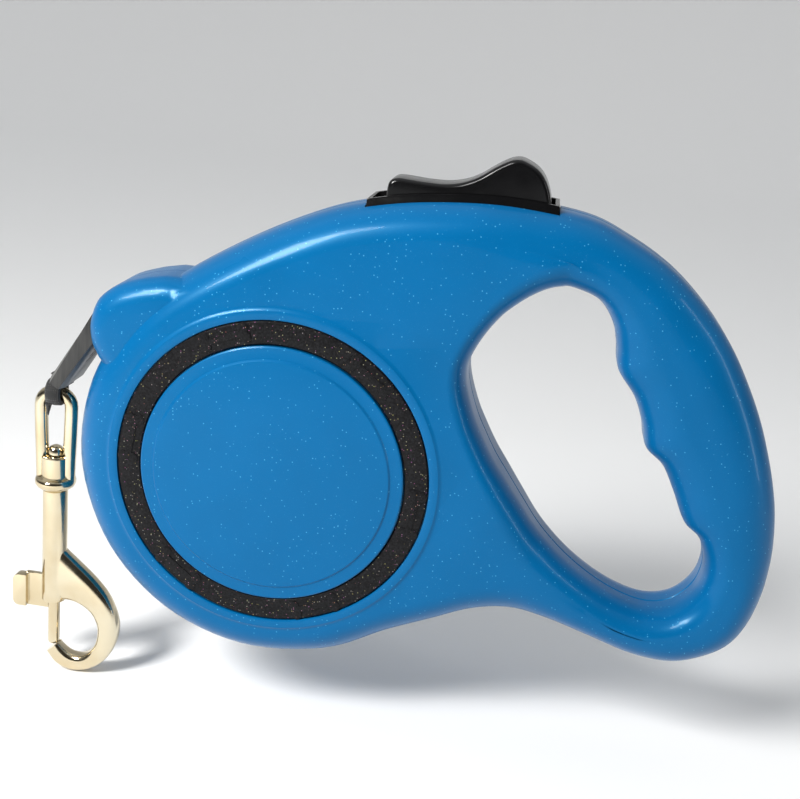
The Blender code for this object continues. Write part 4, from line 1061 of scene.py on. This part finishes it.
class LEASH_OT_sheath(bpy.types.Operator):
    """Build the stiff sheath on the tape's end"""

    bl_idname = "leash.sheath"
    bl_label = "Sheath"

    def execute(self, context):
        thick = 2.2 * MM
        wide = 7.5 * MM
        end = 23.0 * MM
        tip = ((-0.8, -1, 0.0), (0.0, -1, 0.9), (0.0, 1, -0.9), (-0.8, 1, 0.0))
        outline = [(point.x, point.y) for point in arc_points((0.0, 0.0), thick, 90, 270, 16)]
        outline += [(end + along * MM, side * thick + rise * MM) for along, side, rise in tip]
        bm = slab(outline, -wide, wide)
        edges = [
            edge
            for edge in bm.edges
            if is_level(edge) and all(abs(abs(vert.co.z) - thick) < 1e-6 for vert in edge.verts)
        ]
        bevelled(bm, edges, 1.7 * MM, 1)
        groove = Matrix.Diagonal((0.45 * MM, 6.4 * MM, 0.9 * MM, 1.0))
        slant = Matrix.Rotation(math.radians(28), 4, "Z")
        steps = []
        for face in (-1, 1):
            for index in range(5):
                along = mix(6.0 * MM, 13.5 * MM, index / 4)
                place = Matrix.Translation((along, 0.6 * MM, face * thick)) @ slant
                steps.append((CUT, block(place @ groove)))
        knuckle = (KNUCKLE - MOUTH).length
        half, deep = 3.9 * MM, 1.5 * MM  # of the pocket for the webbing
        steps.append((CUT, rod((knuckle, -half, 0), (knuckle, half, 0), deep)))
        steps.append((CUT, box((knuckle, -half, -deep), (end + 5 * MM, half, deep))))
        bm = softened_edges(shaped(bm, *steps), 0.16 * MM, 2, 25)
        bmesh.ops.transform(bm, matrix=sheath_matrix(), verts=bm.verts)
        # The wide faces get the painted sheen, a grey for the light they catch at a grazing angle; the
        # narrow edges keep the dark moulding.
        finishes = ["dark_sheathing", "sheath_painted_sheen"]
        item = piece("sheath", bm, finishes, "sheath", ["tape_sheath"], "sheath_painted_sheen")
        out = sheath_matrix().to_3x3() @ Z_AXIS
        for face in item.data.polygons:
            if abs(face.normal.dot(out)) > 0.9:
                face.material_index = 1
        return {"FINISHED"}


class LEASH_OT_webbing(bpy.types.Operator):
    """Build the bunched webbing round the eye's bar, and the tape itself"""

    bl_idname = "leash.webbing"
    bl_label = "Webbing and tape"

    def execute(self, context):
        knuckle = Y_AXIS * 3.6 * MM
        bm = rod(KNUCKLE - knuckle, KNUCKLE + knuckle, 1.2 * MM, 24)
        inner, outer, half = 2.5 * MM, 3.45 * MM, 1.9 * MM
        edge = outer - 0.25 * MM
        profile = [(inner, -half), (edge, -half), (outer, -half * 0.8), (outer + 0.15 * MM, 0.0)]
        profile += [(outer, half * 0.8), (edge, half), (inner, half)]
        band = turned(profile, BAR, X_AXIS, 48)
        top, bottom = KNUCKLE, BAR + Z_AXIS * (inner + 0.3 * MM)
        span = top - bottom
        size = Matrix.Diagonal((1.3 * MM, 4.8 * MM, span.length, 1.0))
        neck = block(Matrix.Translation((top + bottom) / 2) @ turn_to(span) @ size)
        fold = rod(on_hook(-1.1, -2.6, -2.4), on_hook(-1.7, -6.2, -1.2), 0.9 * MM, 12, 0.15 * MM)
        bm = shaped(bm, (ADD, neck), (ADD, band), (ADD, fold))
        bm = softened_edges(bm, 0.2 * MM, 2, 35)
        piece("webbing_link", bm, "black_webbing", "webbing", ["webbing_loop"], angle=60)
        for name, body, node, width, angle in (
            ("tape_run", "tape_run", "tape_strip", 0.12 * MM, 30),
            ("tape_wound", "reel", "wound_tape", 0.2 * MM, 50),
        ):
            tape = softened_edges(node_copy(node), width, 2, angle)
            piece(name, tape, "black_webbing", body, [node])
        return {"FINISHED"}


# ------------------------------------------------------------ snap hook


def on_hook(x, height, y=0.0):
    """A point in millimetres from the barrel's axis and up from the middle of the eye's bar."""
    return BAR + Vector((x, y, height)) * MM


def on_barrel(profile, steps):
    """A profile in millimetres spun about the barrel's axis."""
    return turned([(r * MM, z * MM) for r, z in profile], BAR, Z_AXIS, steps)


def tube(points, radius, sides=28):
    """A round bar along a run of points in the middle plane."""
    count = len(points)

    def place(column, row):
        ahead = points[min(row + 1, count - 1)] - points[max(row - 1, 0)]
        across = ahead.normalized().cross(Y_AXIS).normalized()
        angle = 2 * math.pi * column / sides
        return points[row] + across * math.cos(angle) * radius + Y_AXIS * math.sin(angle) * radius

    return lofted(sides, count, place, closed_rows=False)


class LEASH_OT_eye(bpy.types.Operator):
    """Build the swivel eye and its collar"""

    bl_idname = "leash.eye"
    bl_label = "Swivel eye"

    def execute(self, context):
        side, rise = 3.95, 3.6  # half the loop's width, and its arch's height
        leg = ((-0.55, -24.0), (-0.4, -18.0), (-0.15, -11.0), (0.0, -6.0), (0.0, -4.0))
        right = [(side + inward, z) for inward, z in leg]
        half_turn = arc_points((0.0, 0.0), 1.0, 0, 180, 12)
        arch = [(point.x * side, -rise + point.y * rise) for point in half_turn]
        left = [(-x, z) for x, z in reversed(right)]
        loop = tube([on_hook(x, z) for x, z in right[:-1] + arch + left[1:]], 1.7 * MM)
        bore = rod(on_hook(0, -27), on_hook(0, -16), 1.5 * MM)
        bm = shaped(loop, (ADD, on_barrel(COLLAR, 64)), (CUT, bore))
        piece("eye", bm, "nickel_plate", "eye", ["swivel_eye"], angle=40)
        return {"FINISHED"}


# Radius and height of each turned piece on the barrel's axis, in millimetres from the eye's bar.
COLLAR = (
    (0.0, -17.1), (2.5, -17.1), (3.2, -17.2), (3.55, -17.5), (3.6, -18.0), (3.6, -22.6), (3.9, -22.9),
    (4.6, -23.0), (5.0, -23.3), (5.2, -23.9), (5.15, -24.6), (4.8, -25.3), (4.2, -25.8), (3.7, -26.0),
    (0.0, -26.0),
)
BARREL = (
    (0.0, -14.4), (0.8, -14.5), (1.5, -14.9), (1.9, -15.6), (1.9, -16.8), (1.2, -16.8), (1.2, -26.3),
    (2.9, -26.3), (3.2, -26.6), (3.2, -57.8), (3.0, -58.1), (0.0, -58.1),
)
BOLT = (
    (0.0, -44.0), (1.3, -44.0), (1.55, -44.3), (1.55, -70.4), (1.4, -70.9), (1.0, -71.2), (0.0, -71.2),
)
# The hook's outer edge and the inner edge across from it, from the barrel round to the tip.
HOOK_PAIRS = (
    ((1.2, -41.6), (0.4, -57.7)), ((3.4, -43.6), (2.0, -57.8)), ((7.0, -46.7), (4.6, -57.6)),
    ((11.4, -50.6), (7.5, -58.3)), ((15.0, -54.8), (10.3, -60.1)), ((17.3, -59.6), (12.0, -62.8)),
    ((18.1, -64.0), (12.5, -65.6)), ((17.2, -69.4), (12.0, -69.0)), ((14.6, -74.0), (10.4, -71.8)),
    ((10.6, -77.1), (7.8, -73.5)), ((5.8, -78.3), (4.8, -73.2)), ((1.3, -77.0), (2.6, -71.6)),
    ((-1.6, -73.6), (1.7, -70.6)),
)


def crescent():
    """The hook itself: a leaf section, thick near its inner edge and rounded away to its outer one."""
    outer = spline([pair[0] for pair in HOOK_PAIRS], 4, closed=False)
    inner = spline([pair[1] for pair in HOOK_PAIRS], 4, closed=False)
    count = len(outer)
    sides = 26

    def place(column, row):
        far, near = outer[row], inner[row]
        angle = 2 * math.pi * column / sides
        share = (1 - math.cos(angle)) / 2
        flat = near.lerp(far, share)
        run = row / (count - 1)
        deep = mix(2.7, 2.1, smooth_step(run, 0.5, 1.0))
        bulge = math.copysign(abs(math.sin(angle)) ** 0.62, math.sin(angle))
        return on_hook(flat.x, flat.y, bulge * deep)

    return lofted(sides, count, place, closed_rows=False)


class LEASH_OT_hook(bpy.types.Operator):
    """Build the barrel and hook in one casting"""

    bl_idname = "leash.hook"
    bl_label = "Snap hook"

    def execute(self, context):
        bore = rod(on_hook(0, -71.5), on_hook(0, -29.5), 1.85 * MM)
        slot = box(on_hook(-6.1, -63.3, -0.85), on_hook(0.4, -42.8, 0.85))
        bm = shaped(on_barrel(BARREL, 64), (ADD, crescent()), (CUT, slot), (CUT, bore))
        piece("hook", bm, "nickel_plate", "hook", ["hook_body"], angle=38)
        return {"FINISHED"}


class LEASH_OT_bolt(bpy.types.Operator):
    """Build the sliding bolt with its bent thumb tab"""

    bl_idname = "leash.bolt"
    bl_label = "Bolt"

    def execute(self, context):
        plate = box(on_hook(-7.6, -60.8, -0.6), on_hook(0.0, -51.2, 0.6))
        low, high, left, right = -60.5, -51.5, -10.6, -7.0
        corner = 1.6
        outline = arc_points((left + corner, high - corner), corner, 180, 90, 6)
        outline += [Vector((right, high)), Vector((right, low))]
        outline += arc_points((left + corner, low + corner), corner, 270, 180, 6)
        thumb = slab(outline_at(BAR, outline), -2.2 * MM, 0.4 * MM)
        bm = shaped(plate, (ADD, thumb), (ADD, on_barrel(BOLT, 40)))
        bm = softened_edges(bm, 0.12 * MM, 2, 50)
        piece("bolt", bm, "nickel_plate", "bolt", ["hook_bolt"], angle=38)
        return {"FINISHED"}


# ------------------------------------------------------------ inner pieces

INNER_PIECES = (
    ("reel", "reel", "white_nylon", 0.2),
    ("reel_cover", "reel", "white_nylon", 0.2),
    ("reel_axle", "casing", "spring_steel", 0.3),
    ("tape_guide", "casing", "white_nylon", 0.2),
    ("lock_slide", "slide", "white_nylon", 0.2),
    ("button_pin", "slide", "spring_steel", 0.15),
)
# A spring's node, its body, the joint that squeezes it, by how much, and whether its top end stays put.
SQUEEZED_SPRINGS = (
    ("hook_spring", "hook", "bolt_slide", 8.0 * MM, True),
    ("button_spring", "slide", "brake_press", 1.42 * MM, False),
)


class LEASH_OT_inner(bpy.types.Operator):
    """Give the pieces inside the casing their rounded edges and finishes"""

    bl_idname = "leash.inner"
    bl_label = "Inner pieces"

    def execute(self, context):
        for node, body, name, edge in INNER_PIECES:
            bm = softened_edges(node_copy(node), edge * MM, 2, 40)
            piece(node + "_finished", bm, name, body, [node])
        for node, body, joint, squeeze, top_is_fixed in SQUEEZED_SPRINGS:
            spring = piece(node + "_finished", node_copy(node), "spring_steel", body, [node])
            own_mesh(spring)
        clock_spring = frame["nodes"]["spiral_spring"]
        clock_spring.material_slots[0].material = finish("spring_steel")
        return {"FINISHED"}


# ------------------------------------------------------------ stage


def aim(item, target, roll=0.0):
    """Turns a light or camera at a target."""
    back = (item.location - target).normalized()
    right = (-back).cross(Z_AXIS).normalized()
    up = right.cross(-back).normalized()
    tilted_right = right * math.cos(roll) + up * math.sin(roll)
    tilted_up = up * math.cos(roll) - right * math.sin(roll)
    item.rotation_euler = Matrix((tilted_right, tilted_up, back)).transposed().to_euler()


def softbox(name, place, target, width, height, power, tint=(1.0, 1.0, 1.0)):
    light = bpy.data.lights.new(name, "AREA")
    light.shape = "RECTANGLE"
    light.size = width
    light.size_y = height
    light.energy = power
    light.color = tint
    item = linked(name, light)
    item.location = place
    aim(item, Vector(target))
    return item


def studio_world():
    """A room bright overhead and behind the leash and dim in front, so that metal has contrast."""
    world = bpy.data.worlds.new("studio")
    world.use_nodes = True
    tree = world.node_tree
    background = tree.nodes["Background"]
    place = tree.nodes.new("ShaderNodeTexCoord")
    axis = tree.nodes.new("ShaderNodeVectorMath")
    axis.operation = "DOT_PRODUCT"
    axis.inputs[1].default_value = (0.0, 0.62, 0.78)
    tree.links.new(place.outputs["Generated"], axis.inputs[0])
    fade = tree.nodes.new("ShaderNodeValToRGB")
    ends = ((0.0, (0.05, 0.05, 0.05, 1.0)), (0.75, (0.95, 0.98, 1.0, 1.0)))
    for element, (position, tone) in zip(fade.color_ramp.elements, ends):
        element.position = position
        element.color = tone
    tree.links.new(axis.outputs["Value"], fade.inputs["Fac"])
    tree.links.new(fade.outputs["Color"], background.inputs["Color"])
    background.inputs["Strength"].default_value = 0.72
    return world


CAMERA_AZIMUTH = 5.716
CAMERA_ELEVATION = 17.418
CAMERA_ROLL = 5.845
CAMERA_DISTANCE = 292.18 * MM


class LEASH_OT_stage(bpy.types.Operator):
    """Set up the floor, the lights and the camera"""

    bl_idname = "leash.stage"
    bl_label = "Stage"

    def execute(self, context):
        scene = context.scene
        lowest = CAD_BOX[0][2] - 0.2 * MM
        bm = bmesh.new()
        sweep = [Vector((-3.0, lowest)), Vector((1.2, lowest))]
        sweep += arc_points((1.2, lowest + 1.2), 1.2, -90, 0, 24)[1:] + [Vector((2.4, lowest + 4.0))]
        line = [bm.verts.new((-5.0, y, z)) for y, z in sweep]
        edges = [bm.edges.new(pair) for pair in zip(line, line[1:])]
        made = bmesh.ops.extrude_edge_only(bm, edges=edges)
        moved = [found for found in made["geom"] if isinstance(found, bmesh.types.BMVert)]
        bmesh.ops.translate(bm, verts=moved, vec=(10.0, 0.0, 0.0))
        bmesh.ops.recalc_face_normals(bm, faces=bm.faces)
        mesh = new_mesh("floor", bm)
        mesh.shade_smooth()
        shader = Shader("pale_floor")
        shader.set(Base_Color=(*colours().floor, 1.0), Roughness=0.9)
        mesh.materials.append(shader.material)
        linked("floor", mesh)

        scene.world = studio_world()
        scene.view_settings.view_transform = "Standard"

        target = Vector((-0.075, 0.0, 0.0))
        daylight = bpy.data.lights.new("daylight", "SUN")
        daylight.energy = 0.9
        daylight.angle = math.radians(12)
        sun = linked("daylight", daylight)
        sun.location = (-1.4, -2.0, 2.2)
        aim(sun, target)
        softbox("key", (-0.35, -0.30, 0.27), (-0.12, 0.0, 0.0), 0.12, 0.16, 2.7, (1.0, 0.99, 0.97))
        softbox("fill", (0.50, -0.16, 0.16), target, 0.05, 0.40, 0.5)

        lens = bpy.data.cameras.new("camera")
        lens.lens = 54.0
        lens.sensor_width = 36.0
        lens.clip_start = 0.01
        camera = linked("camera", lens)
        look_at = Vector((REEL.x + 27.724 * MM, 0.0, REEL.z + 18.862 * MM))
        azimuth = math.radians(CAMERA_AZIMUTH)
        elevation = math.radians(CAMERA_ELEVATION)
        level = math.cos(elevation)
        back = Vector((math.sin(azimuth) * level, -math.cos(azimuth) * level, math.sin(elevation)))
        camera.location = look_at + back * CAMERA_DISTANCE
        aim(camera, look_at, math.radians(CAMERA_ROLL))
        scene.camera = camera
        return {"FINISHED"}


OPERATORS = (
    LEASH_OT_casing,
    LEASH_OT_rings,
    LEASH_OT_screws,
    LEASH_OT_bezel,
    LEASH_OT_button,
    LEASH_OT_sheath,
    LEASH_OT_webbing,
    LEASH_OT_eye,
    LEASH_OT_hook,
    LEASH_OT_bolt,
    LEASH_OT_inner,
    LEASH_OT_stage,
)


class LEASH_PT_panel(bpy.types.Panel):
    """Lists the leash's pieces"""

    bl_label = "Retractable Leash"
    bl_idname = "LEASH_PT_panel"
    bl_space_type = "VIEW_3D"
    bl_region_type = "UI"
    bl_category = "Leash"

    def draw(self, context):
        for operator in OPERATORS:
            self.layout.operator(operator.bl_idname)
        for group in (context.scene.leash_sizes, context.scene.leash_colours):
            for name in group.__annotations__:
                self.layout.prop(group, name)


CLASSES = (LeashSizes, LeashColours, *OPERATORS, LEASH_PT_panel)


def register():
    for each in CLASSES:
        bpy.utils.register_class(each)
    bpy.types.Scene.leash_sizes = bpy.props.PointerProperty(type=LeashSizes)
    bpy.types.Scene.leash_colours = bpy.props.PointerProperty(type=LeashColours)


def unregister():
    del bpy.types.Scene.leash_colours
    del bpy.types.Scene.leash_sizes
    for each in reversed(CLASSES):
        bpy.utils.unregister_class(each)


def main():
    register()
    for operator in OPERATORS:
        group, name = operator.bl_idname.split(".")
        getattr(getattr(bpy.ops, group), name)()


if __name__ == "__main__":
    main()
